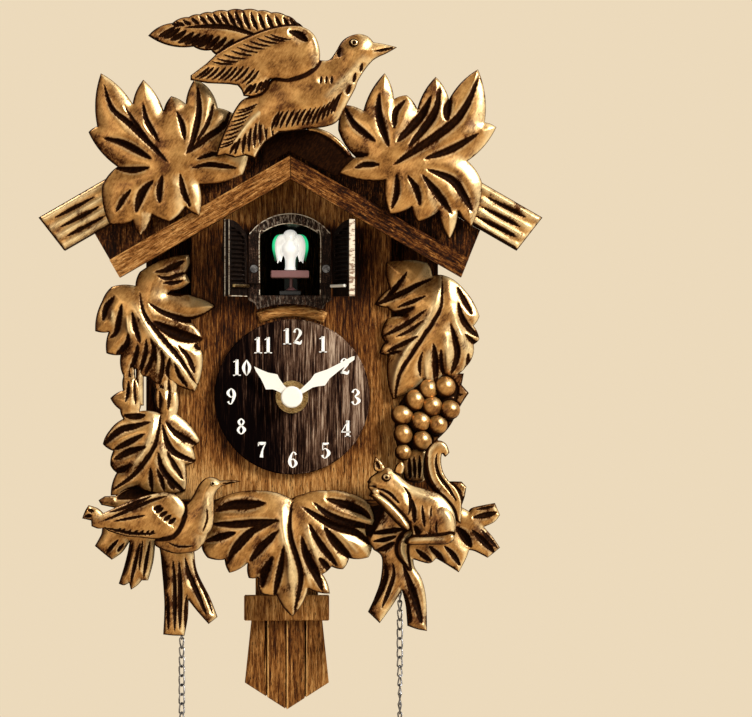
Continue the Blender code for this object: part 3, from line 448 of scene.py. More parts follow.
def battery_sleeve():
    """A dark blue sleeve with a copper band at the positive end."""
    look = Finish("battery_sleeve", Roughness=0.32)
    end = mm_box("battery")[1].x * MM
    copper = look.fade(look.part("X"), end - 0.0145, end - 0.0142)
    cloud = look.noise(look.mm(), 0.5, 3)
    sleeve = look.mix(cloud, (0.010, 0.022, 0.055), (0.018, 0.036, 0.085))
    look.colour(look.mix(copper, sleeve, look.mix(cloud, (0.50, 0.22, 0.09), (0.62, 0.30, 0.13))))
    look.put(look.shader.inputs["Metallic"], look.fade(copper, 0, 1, 0.1, 0.8))
    look.bump(look.noise(look.mm(), 3.0, 3), 0.02, 0.4)
    return look.material


WHITE = (0.86, 0.85, 0.80)
LOOKS = {
    "carved_bronze": carved_bronze(),
    "front_wood": stained_wood("front_wood", 0, 0.44, front_zones),
    "case_wood": stained_wood("case_wood", 0, 0.42),
    "roof_left": stained_wood("roof_left_wood", 60, 0.30),
    "roof_right": stained_wood("roof_right_wood", -60, 0.30),
    "fascia_left": stained_wood("fascia_left_wood", 60, 0.96, specks=0.7),
    "fascia_right": stained_wood("fascia_right_wood", -60, 0.42, specks=0.9),
    "gable": stained_wood("gable_wood", 0, 0.28, specks=0.9),
    "board_wood": stained_wood("board_wood", 90, 0.5),
    "header_wood": stained_wood("header_wood", 0, 1.02),
    "pendulum_wood": stained_wood("pendulum_wood", 0, 0.84, pendulum_zones),
    "dial_wood": dial_wood(),
    "frame_wood": frame_wood(dashes=True),
    "door_wood": frame_wood("door_wood", 0.35),
    "black_plastic": plastic("black_plastic", (0.018, 0.018, 0.019), 0.45, 0.06),
    "white_plastic": plastic("white_plastic", WHITE, 0.30),
    # The cuckoo's white glows a little: painted light from the lamp behind it.
    "bird_white_glow": plastic(
        "bird_white_glow", WHITE, 0.35, 0.01, Emission_Color=(0.95, 0.97, 0.95, 1), Emission_Strength=0.42,
    ),
    "mauve_plastic": plastic("mauve_plastic", (0.19, 0.085, 0.088), 0.5, 0.08),
    "brass": metal("brass", (0.83, 0.60, 0.27), (0.42, 0.26, 0.10), 0.28),
    "dark_steel": metal("dark_steel", (0.36, 0.36, 0.38), (0.10, 0.10, 0.11), 0.32),
    "lamp_green": lamp_green(),
    "battery_sleeve": battery_sleeve(),
    "numeral_white": plastic("numeral_white", (0.92, 0.93, 0.93), 0.45),
    "cream_edge": cream_edge(),
    "lip_wood": stained_wood("lip_wood", 90, 1.22),
    "wing_glow": wing_glow(),
}


# ---------------------------------------------------------------- outlines and curves, in millimetres
CUT_STEP = 0.8  # between neighbouring points of a drawn curve


def between(a, b, c, d, t):
    """The point at t on the smooth curve from b to c, where a comes before them and d after."""
    return 0.5 * (2 * b + (c - a) * t + (2 * a - 5 * b + 4 * c - d) * t**2 + (3 * b - a - 3 * c + d) * t**3)


def flow(points, spacing=CUT_STEP, closed=False):
    """A smooth curve through (x, z) points. A point with a third value is a sharp corner."""
    count = len(points)
    out = []
    for i in range(count if closed else count - 1):
        p1, p2 = points[i], points[(i + 1) % count]
        p0 = points[i - 1] if (closed or i) and len(p1) == 2 else p1
        p3 = points[(i + 2) % count] if (closed or i + 2 < count) and len(p2) == 2 else p2
        a, b, c, d = (np.array(p[:2], float) for p in (p0, p1, p2, p3))
        steps = max(1, math.ceil(math.dist(b, c) / spacing))
        for t in np.arange(steps) / steps:
            out.append(between(a, b, c, d, t))
    if not closed:
        out.append(np.array(points[-1][:2], float))
    return np.array(out)


def ccw(points):
    """The same loop, run anticlockwise as seen from the front."""
    flat = np.array([p[:2] for p in points], float)
    area = (flat[:, 0] * np.roll(flat[:, 1], -1) - flat[:, 1] * np.roll(flat[:, 0], -1)).sum()
    return flat if area > 0 else flat[::-1]


def loop_of(points, spacing=CUT_STEP):
    """A smooth closed outline through the points, run anticlockwise."""
    return ccw(flow(points, spacing, True))


def silhouette(node):
    """The corners of a CAD carving's flat back, as an (x, z) loop in millimetres."""
    bm = bmesh.new()
    bm.from_mesh(frame["nodes"][node].data)
    bmesh.ops.remove_doubles(bm, verts=bm.verts, dist=1e-6)
    back = max(v.co.y for v in bm.verts)
    flat = {f for f in bm.faces if all(back - v.co.y < 1e-5 for v in f.verts)}
    rim = [e for e in bm.edges if sum(f in flat for f in e.link_faces) == 1]
    ahead = {}
    for edge in rim:
        for vert in edge.verts:
            ahead.setdefault(vert, []).append(edge.other_vert(vert))
    start = min(ahead, key=lambda v: (v.co.x, v.co.z))
    loop, last = [start], None
    while True:
        step = next(v for v in ahead[loop[-1]] if v is not last)
        last = loop[-1]
        if step is start:
            break
        loop.append(step)
    points = np.array([(v.co.x, v.co.z) for v in loop]) / MM
    bm.free()
    before, after = points - np.roll(points, 1, 0), np.roll(points, -1, 0) - points
    turn = np.abs(before[:, 0] * after[:, 1] - before[:, 1] * after[:, 0])
    bent = turn > 0.03 * np.hypot(*before.T) * np.hypot(*after.T)
    return ccw(points[bent])


def scalloped(corners, bulge=0.07, spacing=1.0):
    """A loop whose edges swell outwards a little between their sharp corners."""
    out = []
    for a, b in zip(corners, np.roll(corners, -1, 0)):
        along = b - a
        outward = np.array((along[1], -along[0])) * bulge
        steps = max(2, math.ceil(np.hypot(*along) / spacing))
        for t in np.arange(steps) / steps:
            out.append(a + along * t + outward * 4 * t * (1 - t))
    return np.array(out)


def to_line(points, line, closed=False):
    """For each point its distance to a polyline and how far along, 0 to 1, its nearest point lies."""
    a = line if closed else line[:-1]
    step = (np.roll(line, -1, 0) if closed else line[1:]) - a
    length = np.maximum(np.hypot(*step.T), 1e-9)
    t = np.clip(((points[:, None] - a) * step).sum(2) / length**2, 0, 1)
    gap = points[:, None] - (a + t[..., None] * step)
    distance = np.hypot(gap[..., 0], gap[..., 1])
    best = distance.argmin(1)
    rows = np.arange(len(points))
    along = (np.cumsum(length)[best] - length[best] * (1 - t[rows, best])) / length.sum()
    return distance[rows, best], along


def inside(points, loop):
    """Which points lie inside a loop."""
    x, z = points[:, :1], points[:, 1:]
    a, b = loop, np.roll(loop, -1, 0)
    crosses = (a[:, 1] > z) != (b[:, 1] > z)
    slope = (b[:, 0] - a[:, 0]) / np.where(b[:, 1] == a[:, 1], 1e-9, b[:, 1] - a[:, 1])
    return (crosses & (x < a[:, 0] + slope * (z - a[:, 1]))).sum(1) % 2 == 1


def smooth(value, low, high):
    """From 0 at low to 1 at high, along a smooth step."""
    t = np.clip((value - low) / (high - low), 0, 1)
    return t * t * (3 - 2 * t)


# ---------------------------------------------------------------- meshes
class Build:
    """Points, faces and two paint values (wash with painted shade, rub with painted highlight), collected for one
    mesh.
    """

    def __init__(self):
        self.points, self.faces, self.dark, self.rub, self.count = [], [], [], [], 0

    def add(self, points, faces, dark=0.0, rub=0.0):
        points = np.asarray(points, float)
        self.points.append(points)
        self.faces += [tuple(int(i) + self.count for i in face) for face in faces]
        self.dark.append(np.broadcast_to(dark, len(points)).astype(float))
        self.rub.append(np.broadcast_to(rub, len(points)).astype(float))
        self.count += len(points)
        return self

    def piece(self, name, look, body="case", slot=None, replaces=(), sharp=40, bevel=0.0):
        """Makes the object, and says what it rides on and stands for."""
        mesh = bpy.data.meshes.new(name)
        mesh.from_pydata(np.concatenate(self.points) * MM, [], self.faces)
        mesh.validate()
        # dark carries wash and painted shade, rub carries rubbed paint and painted highlight.
        for key, values in (("dark", self.dark), ("rub", self.rub)):
            mesh.attributes.new(key, "FLOAT", "POINT").data.foreach_set("value", np.concatenate(values))
        bm = bmesh.new()
        bm.from_mesh(mesh)
        bmesh.ops.recalc_face_normals(bm, faces=bm.faces)
        bm.to_mesh(mesh)
        bm.free()
        mesh.shade_smooth()
        mesh.set_sharp_from_angle(angle=math.radians(sharp))
        mesh.materials.append(LOOKS[look])
        obj = bpy.data.objects.new(name, mesh)
        bpy.context.scene.collection.objects.link(obj)
        if bevel:
            edges = obj.modifiers.new("edges", "BEVEL")
            edges.width = bevel * MM
            edges.segments = 2
            edges.limit_method = "ANGLE"
        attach(obj, body)
        if replaces:
            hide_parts(*replaces)
        return obj


PITCH = 0.65  # between neighbouring points of a carved front
FINE = 0.5


def rings_faces(rings, sides, closed=False):
    """Four-sided faces between rings of points. `closed` joins the last ring to the first."""
    faces = []
    for i in range(rings if closed else rings - 1):
        for j in range(sides):
            k, n = (j + 1) % sides, (i + 1) % rings
            faces.append((i * sides + j, i * sides + k, n * sides + k, n * sides + j))
    return faces


def taper(along):
    """A gouge cut's width along its length: pointed where it starts and ends, widest past its middle."""
    return np.clip(np.sin(math.pi * np.clip(along, 0, 1) ** 1.15), 0, 1) ** 0.7


def lengthened(line, part):
    """The curve with each end carried straight on by a part of its length."""
    if not part:
        return line
    reach = part * np.hypot(*np.diff(line, axis=0).T).sum()
    first, last = line[0] - line[1], line[-1] - line[-2]
    first, last = first / np.hypot(*first) * reach, last / np.hypot(*last) * reach
    return np.concatenate([[line[0] + first], line, [line[-1] + last]])


def sheet(outline, pitch, seed):
    """Points over an outline's inside, and the triangles that join them."""
    draw = np.random.default_rng(seed)
    low, high = outline.min(0), outline.max(0)
    rows = np.arange(low[1], high[1], pitch * 0.87)
    grid = [
        (x, z)
        for i, z in enumerate(rows)
        for x in np.arange(low[0] + (i % 2) * pitch / 2, high[0], pitch)
    ]
    grid = np.array(grid) + draw.uniform(-0.12, 0.12, (len(grid), 2)) * pitch
    grid = grid[inside(grid, outline)]
    grid = grid[to_line(grid, outline, True)[0] > 0.45 * pitch]
    every = [Vector(p) for p in np.concatenate([outline, grid])]
    flat, _, faces, *_ = delaunay_2d_cdt(every, [], [list(range(len(outline)))], 1, 1e-7)
    flat = np.array([tuple(p) for p in flat])
    faces = np.array([list(face) for face in faces if len(face) == 3])
    return flat, faces[inside(flat[faces].mean(1), outline)]


def facing_light(flat, height, faces):
    """How far the front slopes down to the right and up at each point, as rise over run."""
    corners = np.column_stack([flat, height])[faces]
    across = np.cross(corners[:, 1] - corners[:, 0], corners[:, 2] - corners[:, 0])
    total = np.zeros((len(flat), 3))
    for k in range(3):
        np.add.at(total, faces[:, k], across * np.sign(across[:, 2:]))
    slope = total[:, :2] / np.maximum(total[:, 2:], 1e-9)
    return 0.9 * slope[:, 0] + 0.25 * slope[:, 1]


def relief(
    build, outline, back, edge, crown, cuts=(), ridges=(), knee=5.0, rim=1.0, depth=0.7, seed=1,
    gloom=0.0, under=(), wide=1.0, fold=0.0, pitch=PITCH, stretch=0.0,
):
    """A carved layer: flat back, upright edge, and a front that swells inwards, cut by tapering gouges.

    A cut or a ridge is a width and a curve's points, in millimetres. Painted shade darkens the front beside the
    loops in
    `under`, the layers that lie on this one, and on slopes that turn away from the light; painted highlight
    lightens slopes that face it. `fold` lowers the layer's left and right edges; `wide` and `stretch` make every
    cut wider and longer."""
    outline = np.asarray(outline)
    flat, tops = sheet(outline, pitch, seed)
    to_rim = to_line(flat, outline, True)[0]
    height = edge + crown * (1 - np.exp(-to_rim / knee))
    height -= rim * (1 - np.sqrt(1 - np.clip(1 - to_rim / rim, 0, 1) ** 2)) * 0.8
    low, high = outline[:, 0].min(), outline[:, 0].max()
    height -= fold * ((2 * flat[:, 0] - low - high) / (high - low)) ** 2
    carve, dark, valley, lip = (np.zeros(len(flat)) for _ in range(4))
    for width, curve in cuts:
        width = width * wide
        distance, along = to_line(flat, lengthened(flow(curve), stretch))
        half = np.maximum(width / 2 * taper(along), 0.05)
        across = distance / half
        deep = depth * width * taper(along) ** 0.8
        carve = np.maximum(carve, deep * np.clip(1 - across**2, 0, 1) ** 0.6)
        # A soft dark ring round each gouge: the wash spreading out, and painted shade.
        halo = 0.35 * smooth(across, 2.6, 1.0)
        dark = np.maximum(
            dark, np.maximum(halo, smooth(across, 1.35, 0.8)) * smooth(taper(along), 0.0, 0.45),
        )
        # A pale ring just outside each gouge: rubbed paint and painted highlight.
        lip = np.maximum(lip, np.exp(-(((across - 1.45) / 0.33) ** 2)) * smooth(taper(along), 0.1, 0.6))
        spread = 0.5 + 0.55 * width
        valley = np.maximum(
            valley, (0.15 + 0.42 * width) * taper(along) * np.exp(-((distance / spread / 1.5) ** 2)),
        )
    lift, rub = np.zeros(len(flat)), np.zeros(len(flat))
    for width, curve in ridges:
        distance, along = to_line(flat, flow(curve))
        shape = np.exp(-((distance / (width * 0.6)) ** 2)) * taper(along)
        lift = np.maximum(lift, 0.35 * width * shape)
        rub = np.maximum(rub, shape)
    height = np.maximum(height + lift - valley - 0.6 * carve, 0.5)
    facing = facing_light(flat, height, tops)
    # Pale on rubbed raised lines and gouge lips; painted highlight on slopes that face the light at the upper
    # right.
    rub = np.maximum(np.maximum(rub, 0.6 * lip), smooth(facing, 0.10, 0.60)) * (1 - dark)
    # Painted shade: the layer's set level and slopes that turn away from the light; the front also darkens along
    # its outline.
    shade = gloom + 0.5 * smooth(-facing, 0.12, 0.75) + 0.6 * smooth(to_rim, 0.7, 0.1)
    # Painted shade beside the layers that lie on this one.
    for loop in under:
        beside = to_line(flat, np.asarray(loop), True)[0]
        shade = np.maximum(shade, 0.85 * smooth(beside, 1.5, 0.4) + 0.25 * smooth(beside, 3.5, 1.0))
    dark = np.clip(np.maximum(dark, shade), 0, 1)
    tops = [list(map(int, face)) for face in tops]
    loop = boundary(tops)
    foot = len(flat)
    front = np.column_stack([flat[:, 0], back - height, flat[:, 1]])
    belt = [
        (front[i] * (1 - t) + np.array((flat[i, 0], back, flat[i, 1])) * t)
        for t in (0.5, 1.0)
        for i in loop
    ]
    size = len(loop)
    walls = []
    for i in range(size):
        j = (i + 1) % size
        walls.append((loop[i], loop[j], foot + j, foot + i))
        walls.append((foot + i, foot + j, foot + size + j, foot + size + i))
    points = np.concatenate([front, belt])
    # The front keeps its wash and painted shade; the upright edge and the back are dark.
    shade_and_wash = np.concatenate([dark, np.full(size, 0.75), np.full(size, 0.9)])
    rub_and_highlight = np.concatenate([rub, np.zeros(2 * size)])
    build.add(points, tops + walls + [tuple(range(foot + size, foot + 2 * size))[::-1]], shade_and_wash, rub_and_highlight)
    return build


def layer(build, points, back, edge, crown, cuts=(), ridges=(), spacing=CUT_STEP, **more):
    """A small carved layer with a fine mesh, inside a smooth closed outline."""
    return relief(build, loop_of(points, spacing), back, edge, crown, cuts, ridges, pitch=FINE, **more)


def boundary(faces):
    """The point numbers round a sheet of faces, in order."""
    ahead = {}
    for face in faces:
        for a, b in zip(face, face[1:] + face[:1]):
            ahead[(a, b)] = True
    edge = {a: b for a, b in ahead if (b, a) not in ahead}
    start = min(edge)
    loop = [start]
    while edge[loop[-1]] != start:
        loop.append(edge[loop[-1]])
    return loop


def bronze(build, name, *nodes):
    """Makes a carved bronze piece that stands for the CAD nodes."""
    return build.piece(name, "carved_bronze", replaces=nodes)


# ---------------------------------------------------------------- carved leaves
def row(start, end, count, width, swell=0.0):
    """Side by side cuts whose ends run along two curves."""
    starts, ends = flow(start, 0.3), flow(end, 0.3)
    cuts = []
    for i in range(count):
        t = i / max(1, count - 1)
        a, b = starts[round(t * (len(starts) - 1))], ends[round(t * (len(ends) - 1))]
        middle = (a + b) / 2 + np.array((b[1] - a[1], a[0] - b[0])) * swell
        cuts.append((width, [tuple(a), tuple(middle), tuple(b)]))
    return cuts


# Each leaf's gouges, then its raised lines: a width and the points of a curve.
LEAF_TOP_LEFT = [
    (2.2, [(-84.5, 141.5), (-81, 131.5), (-72, 123.5), (-57.5, 109)]),
    (1.9, [(-67, 133.5), (-65, 125.5), (-60, 117)]),
    (1.9, [(-51.5, 130), (-49, 123.5), (-48, 117.5)]),
    (2.3, [(-42, 141.5), (-41.5, 130), (-44, 117.5), (-46.5, 112)]),
    (2.6, [(-84.5, 118), (-75.5, 115.5), (-64, 109)]),
    (1.8, [(-44, 104.5), (-36.5, 106), (-25, 104.5)]),
    (2.8, [(-62.5, 98.5), (-67.5, 93), (-70, 85)]),
    (2.1, [(-58, 101), (-59.5, 94.5), (-59.5, 89)]),
    (2.1, [(-50, 101.5), (-48.5, 93.5), (-46, 87.5)]),
    (2.3, [(-27.5, 130), (-30.5, 123.5), (-37.5, 118.5), (-45.5, 112)]),
    (2.3, [(-79.5, 104.5), (-72, 103.5), (-65, 104.5)]),
    (1.8, [(-72.5, 94.5), (-76.5, 89.5), (-79, 85)]),
    (1.5, [(-75, 132), (-70, 124), (-63, 115)]),
    (1.5, [(-35, 134), (-37, 126), (-42, 117)]),
    (1.4, [(-30, 111), (-36, 110.5), (-42, 108.5)]),
]
LEAF_TOP_RIGHT = [
    (2.4, [(25, 132), (29, 124.5), (38, 117)]),
    (2.8, [(40.5, 138), (40.5, 128), (44.5, 115)]),
    (2.1, [(52.5, 135.5), (48, 130), (47.5, 123)]),
    (3.2, [(64, 137), (59.5, 128), (49.5, 117)]),
    (3.0, [(68, 140), (65.5, 129), (55, 115)]),
    (3.2, [(85.5, 145), (80, 132.5), (72, 123), (49.5, 107.5)]),
    (2.6, [(85.5, 120), (73.5, 113), (62.5, 109)]),
    (2.1, [(29.5, 104.5), (34, 106), (40, 106)]),
    (2.1, [(48.5, 101.5), (48.5, 93.5), (46.5, 86.5)]),
    (2.1, [(53.5, 101), (57.5, 94.5), (59, 88)]),
    (2.6, [(60.5, 101), (67.5, 92), (73, 84.5)]),
    (3.0, [(63, 103.5), (73.5, 99), (79, 92), (82, 86.5)]),
    (1.9, [(26.5, 110.5), (31, 110.5), (35, 110.5)]),
    (3.0, [(73, 136.5), (71.5, 131), (71.5, 126.5)]),
]
LEAF_LEFT_UPPER = [
    (2.1, [(-62.5, 57.5), (-57, 58.5), (-49.5, 62.5)]),
    (1.5, [(-61.5, 56), (-57, 54.5), (-49.5, 57)]),
    (1.3, [(-59, 52.5), (-54, 52.5), (-50, 53.5)]),
    (2.4, [(-57, 47.5), (-52, 48), (-47.5, 48)]),
    (2.3, [(-65, 43), (-60, 39.5), (-54, 37), (-47, 35.5), (-40, 37.5), (-35.5, 41)]),
    (4.6, [(-63, 34.5), (-57, 31), (-50, 28), (-42, 26.5)]),
    (1.7, [(-69.5, 47.5), (-67.5, 38.5), (-61.5, 30), (-51.5, 18), (-45, 8)]),
    (2.0, [(-44.5, 24), (-43, 23), (-42, 22)]),
    (2.2, [(-81.5, 46), (-85, 41.5), (-86.5, 35.5)]),
    (2.1, [(-78, 42.5), (-79, 36.5), (-80.5, 30), (-83, 27.5)]),
    (1.8, [(-73, 39), (-71.5, 31.5), (-69.5, 25.5)]),
    (2.1, [(-75, 29), (-75.5, 24.5), (-80, 20)]),
    (1.6, [(-70.5, 24.5), (-71.5, 18.5), (-74.5, 11.5)]),
    (1.6, [(-66.5, 26.5), (-67, 20), (-69.5, 12)]),
    (1.8, [(-64.5, 26.5), (-63, 20.5), (-67, 10.5)]),
    (1.6, [(-59.5, 21.5), (-59, 15), (-60.5, 6)]),
    (1.4, [(-55.5, 18), (-57, 12.5), (-56.5, 9)]),
    (1.4, [(-53.5, 15.5), (-51.5, 10), (-48, 5)]),
    (1.8, [(-52, 23.5), (-47.5, 18.5), (-44.5, 11.5)]),
]
LEAF_LEFT_UPPER_RIDGES = [
    (2.5, [(-73.5, 44.5), (-66.5, 32.5), (-59.5, 22.5), (-51.5, 13.5), (-46, 4)]),
    (2.0, [(-75, 37.5), (-74.5, 32), (-73.5, 27.5)]),
    (2.0, [(-82.5, 40.5), (-82, 36), (-81, 32.5)]),
    (2.2, [(-62.5, 25), (-60.5, 15), (-61.5, 6.5)]),
]
LEAF_LEFT_LOWER = [
    (1.7, [(-60, -8), (-61, -16), (-63.5, -24), (-72, -35.5), (-81, -42)]),
    (2.4, [(-77, -8.5), (-72, -9), (-67.5, -8.5)]),
    (2.5, [(-65, -11.5), (-72, -13.5), (-79, -15.5), (-86, -21.5)]),
    (2.2, [(-67.5, -17), (-74, -20.5), (-81, -24)]),
    (2.5, [(-67, -23), (-74, -25), (-81, -28.5)]),
    (2.2, [(-74, -31.5), (-78, -33.5), (-81, -34.5)]),
    (2.4, [(-70, -41), (-74, -43), (-79, -45)]),
    (2.2, [(-57.5, -11.5), (-52.5, -17), (-43.5, -22)]),
    (2.2, [(-59, -13), (-57, -20.5), (-53, -26), (-44, -30)]),
    (1.7, [(-57, -25.5), (-53, -32.5), (-50, -37.5)]),
    (2.2, [(-61, -26), (-59.5, -32.5), (-55.5, -38), (-49, -44)]),
    (1.6, [(-64.5, -32.5), (-64.5, -38), (-64, -43)]),
    (1.6, [(-61.5, -33), (-59.5, -38.5), (-58.5, -43)]),
    (1.7, [(-57, -37.5), (-55.5, -40), (-54, -42.5)]),
    (1.0, [(-72, 8), (-72, 3), (-71.5, -3)]),
    (1.2, [(-74.8, 7.5), (-75, 3), (-76, -2)]),
    (2.4, [(-65.7, 6), (-65.7, 1.5), (-65.2, -4)]),
    (1.2, [(-60.5, 3), (-60, -1.5), (-60.5, -6)]),
    (1.2, [(-56, 4.5), (-56, 0), (-56.5, -5.5)]),
]
LEAF_LEFT_LOWER_RIDGES = [
    (2.1, [(-65, -6.5), (-63.5, -13.5), (-65, -20), (-70, -29), (-74, -34)]),
    (1.9, [(-59.5, -22), (-59, -28), (-54, -36)]),
]
LEAF_RIGHT = [
    (1.5, [(69.5, 55.5), (69.5, 48), (68, 39), (58, 23.5), (50, 10.5), (48, -0.5)]),
    (2.0, [(65, 54.5), (58, 51.5), (51.5, 48), (39, 42.5)]),
    (1.8, [(53.5, 57.5), (49.5, 52), (45, 46.5), (41.5, 43.5)]),
    (2.2, [(42, 38.5), (49.5, 38.5), (56, 41)]),
    (1.6, [(62, 40), (52.5, 33.2), (43.5, 28.5)]),
    (1.4, [(62, 46.5), (55, 43.5), (49.5, 41.5)]),
    (1.6, [(58.5, 28), (51.5, 24.5), (44.5, 21)]),
    (1.2, [(60.5, 35), (54.5, 30.5), (49, 28)]),
    (1.2, [(50.5, 21), (47.5, 20.5), (44.5, 19.5)]),
    (2.0, [(76.5, 50.5), (80, 44), (83, 38.5)]),
    (2.3, [(77, 43.5), (78.5, 37), (82, 31.5), (86, 28)]),
    (1.8, [(80, 29), (84.5, 25), (87, 25.5)]),
    (2.3, [(73.5, 33.5), (75.5, 26), (76.5, 19), (74, 11.5)]),
    (1.6, [(69, 22), (69, 15.5), (70.5, 9.5)]),
    (2.3, [(65.5, 24.5), (66.5, 17), (66.5, 6)]),
    (1.1, [(60.5, 21), (59, 15), (59.5, 10)]),
    (1.3, [(81.5, 20), (81.5, 17.5), (81, 15)]),
]
LEAF_RIGHT_RIDGES = [
    (3.0, [(66.5, 53), (67, 45.5), (63.5, 36), (56.5, 26), (50, 15), (47, 0.5)]),
    (2.6, [(74.5, 43), (76, 34.5), (79.5, 23.5), (80.5, 16)]),
    (2.2, [(71.5, 30), (72, 20), (73, 11)]),
    (2.0, [(63, 21.5), (62.5, 12.5), (63, 4)]),
]
LEAF_BOTTOM = [
    (2.0, [(0.5, -48.5), (-0.5, -56.5), (0, -65), (4.5, -82), (2, -97)]),
    (3.8, [(-34.5, -52.5), (-28, -50), (-19.5, -49.5), (-13, -49)]),
    (2.9, [(-36.5, -58.5), (-25, -58.5), (-7.5, -57)]),
    (2.6, [(-39.5, -66.5), (-33, -64.5), (-26, -62.5)]),
    (2.7, [(-8, -57.5), (-18.5, -62), (-25, -68.5), (-29, -75.5)]),
    (2.6, [(-6, -61.5), (-13, -68.5), (-18.5, -75)]),
    (3.0, [(-8.5, -73.5), (-12, -80.5), (-13.5, -87)]),
    (2.3, [(-3.5, -69), (-4.5, -77), (-7.5, -90.5)]),
    (3.0, [(16.5, -47), (25, -49.5), (32.5, -52.5), (36, -55.5)]),
    (2.9, [(11, -49), (17, -54), (25, -57.5), (37, -60)]),
    (3.1, [(6, -51), (13, -55.5), (20.5, -59.5), (30, -62.5), (35.5, -67)]),
    (3.3, [(15.5, -60), (20.5, -67), (27, -74)]),
    (2.5, [(8.5, -58.5), (13, -67), (20.5, -77)]),
    (3.2, [(5, -64.5), (7, -72.5), (11, -80.5), (14, -88)]),
    (2.4, [(13, -74), (15.5, -77), (17.5, -79.5)]),
    (1.1, [(-15, -60.5), (-20.5, -66), (-25, -71.5)]),
]
LEAF_BOTTOM_RIDGES = [
    (3.4, [(-4.5, -49), (-3.5, -61.5), (0, -77), (1.5, -97)]),
    (2.5, [(7, -57.5), (9.5, -67), (14.5, -79.5)]),
    (1.2, [(11.5, -49.5), (19.5, -57), (30.5, -60.5), (36, -69.5)]),
    (1.3, [(18.5, -60), (25, -65), (31, -72)]),
    (1.1, [(3.5, -68.5), (6, -77), (9.5, -88)]),
]
# A leaf's gouges, raised lines, edge height and crown.
LEAVES = {
    "leaf_top_left": (LEAF_TOP_LEFT, [], 3.6, 5.0),
    "leaf_top_right": (LEAF_TOP_RIGHT, [], 3.6, 5.0),
    "leaf_left_upper": (LEAF_LEFT_UPPER, LEAF_LEFT_UPPER_RIDGES, 3.6, 5.4),
    "leaf_left_lower": (LEAF_LEFT_LOWER, LEAF_LEFT_LOWER_RIDGES, 3.6, 5.4),
    "leaf_right": (LEAF_RIGHT, LEAF_RIGHT_RIDGES, 3.6, 5.4),
    "leaf_bottom": (LEAF_BOTTOM, LEAF_BOTTOM_RIDGES, 4.0, 5.4),
}


def add_leaves():
    """The six big leaves, each on its CAD outline."""
    for number, (node, (cuts, ridges, edge, crown)) in enumerate(LEAVES.items()):
        outline = scalloped(silhouette(node))
        back = back_of(node)
        build = relief(
            Build(), outline, back, edge, crown, cuts, ridges, knee=8, wide=1.12, fold=1.8, stretch=0.09,
            seed=number,
        )
        bronze(build, f"{node}_carving", node)


# ---------------------------------------------------------------- birds
BIRD_BACK, FAR_WING_BACK, NEAR_WING_BACK = -83.6, -80.8, -86.2
FAR_WING = [
    (-64.5, 164.5), (-53.5, 170.3), (-46, 173), (-41, 174.2), (-35.5, 175.1), (-28.5, 175.8),
    (-21.5, 176.2), (-14.5, 175.9), (-8.5, 175), (-2, 173.8), (3, 170.8), (6.5, 167.5), (2, 160),
    (-14, 157), (-31.5, 155), (-36, 158), (-44, 159.6),
]
NEAR_WING = [
    (-45, 146, 1), (-38, 151.3, 1), (-33.5, 155.5, 1), (-26, 160), (-16, 164.4), (-8, 167.2),
    (0, 168.5), (6, 168), (11, 164.5), (13.5, 158), (13, 151.5), (8, 146.5), (0, 144), (-8, 144.5),
    (-10.5, 140.5, 1), (-13, 138, 1), (-15.5, 137, 1), (-18, 136.5, 1), (-21, 136.8, 1), (-22, 139.5),
    (-23.8, 141.6, 1), (-28, 142.2, 1), (-32.5, 142.4, 1), (-37.5, 142.6, 1), (-45, 144, 1),
]
CREST_BODY = [
    (48.5, 159, 1), (44, 156.4), (40, 154.6), (37.5, 153, 1), (34.5, 149.5), (31, 144), (29.5, 140),
    (26, 133.5), (22, 126), (17, 123.2), (8, 122), (-6, 120.5), (-14, 122), (-18, 129), (-14, 138),
    (-4, 148), (8, 154), (14.5, 153), (18, 153.4), (20.8, 157), (23.5, 161.5), (27, 164), (31.5, 165),
    (35.5, 163.8), (38, 161.2, 1), (43, 160.4),
]
TAIL = [
    (-20, 136), (-24.5, 131.5), (-28.5, 123.5), (-31.5, 116.5), (-33.8, 109.3, 1), (-29.5, 110.3, 1),
    (-25, 108.9, 1), (-20.5, 109.9, 1), (-15.8, 108.6, 1), (-13.8, 112.5, 1), (-11.3, 116.1, 1),
    (-6, 119.7), (2, 126), (0, 134), (-10, 138),
]
SMALL_WING = [
    (-95.6, -55.6, 1), (-91.5, -56.6, 1), (-91.3, -59.2, 1), (-88.3, -60.3), (-85.5, -60, 1),
    (-83.3, -61.5, 1), (-79.4, -62.7, 1), (-75, -64, 1), (-70, -64.2), (-62, -65), (-54, -64),
    (-49.5, -58), (-48.3, -51), (-50.5, -46.5), (-54, -44.2), (-58, -43.5), (-63.5, -44.4),
    (-70, -46.2), (-79.5, -50.2), (-86, -53.2, 1), (-88.5, -51), (-92.7, -49.6, 1), (-94.2, -52),
]
SMALL_BODY = [
    (-22.6, -38.6, 1), (-27.5, -38.0), (-32.4, -38.4, 1), (-35.4, -36.9), (-39.0, -37.2),
    (-42.2, -40.2), (-46, -47), (-53, -54), (-60, -61.5), (-62.6, -67), (-59.3, -69.8), (-54, -71.6),
    (-48.5, -71.6), (-43.5, -70.6), (-40.5, -68), (-38, -63.5), (-35.9, -59.5), (-35.1, -53),
    (-35.2, -46), (-33.9, -43), (-31.8, -40.9, 1), (-27.5, -39.7),
]


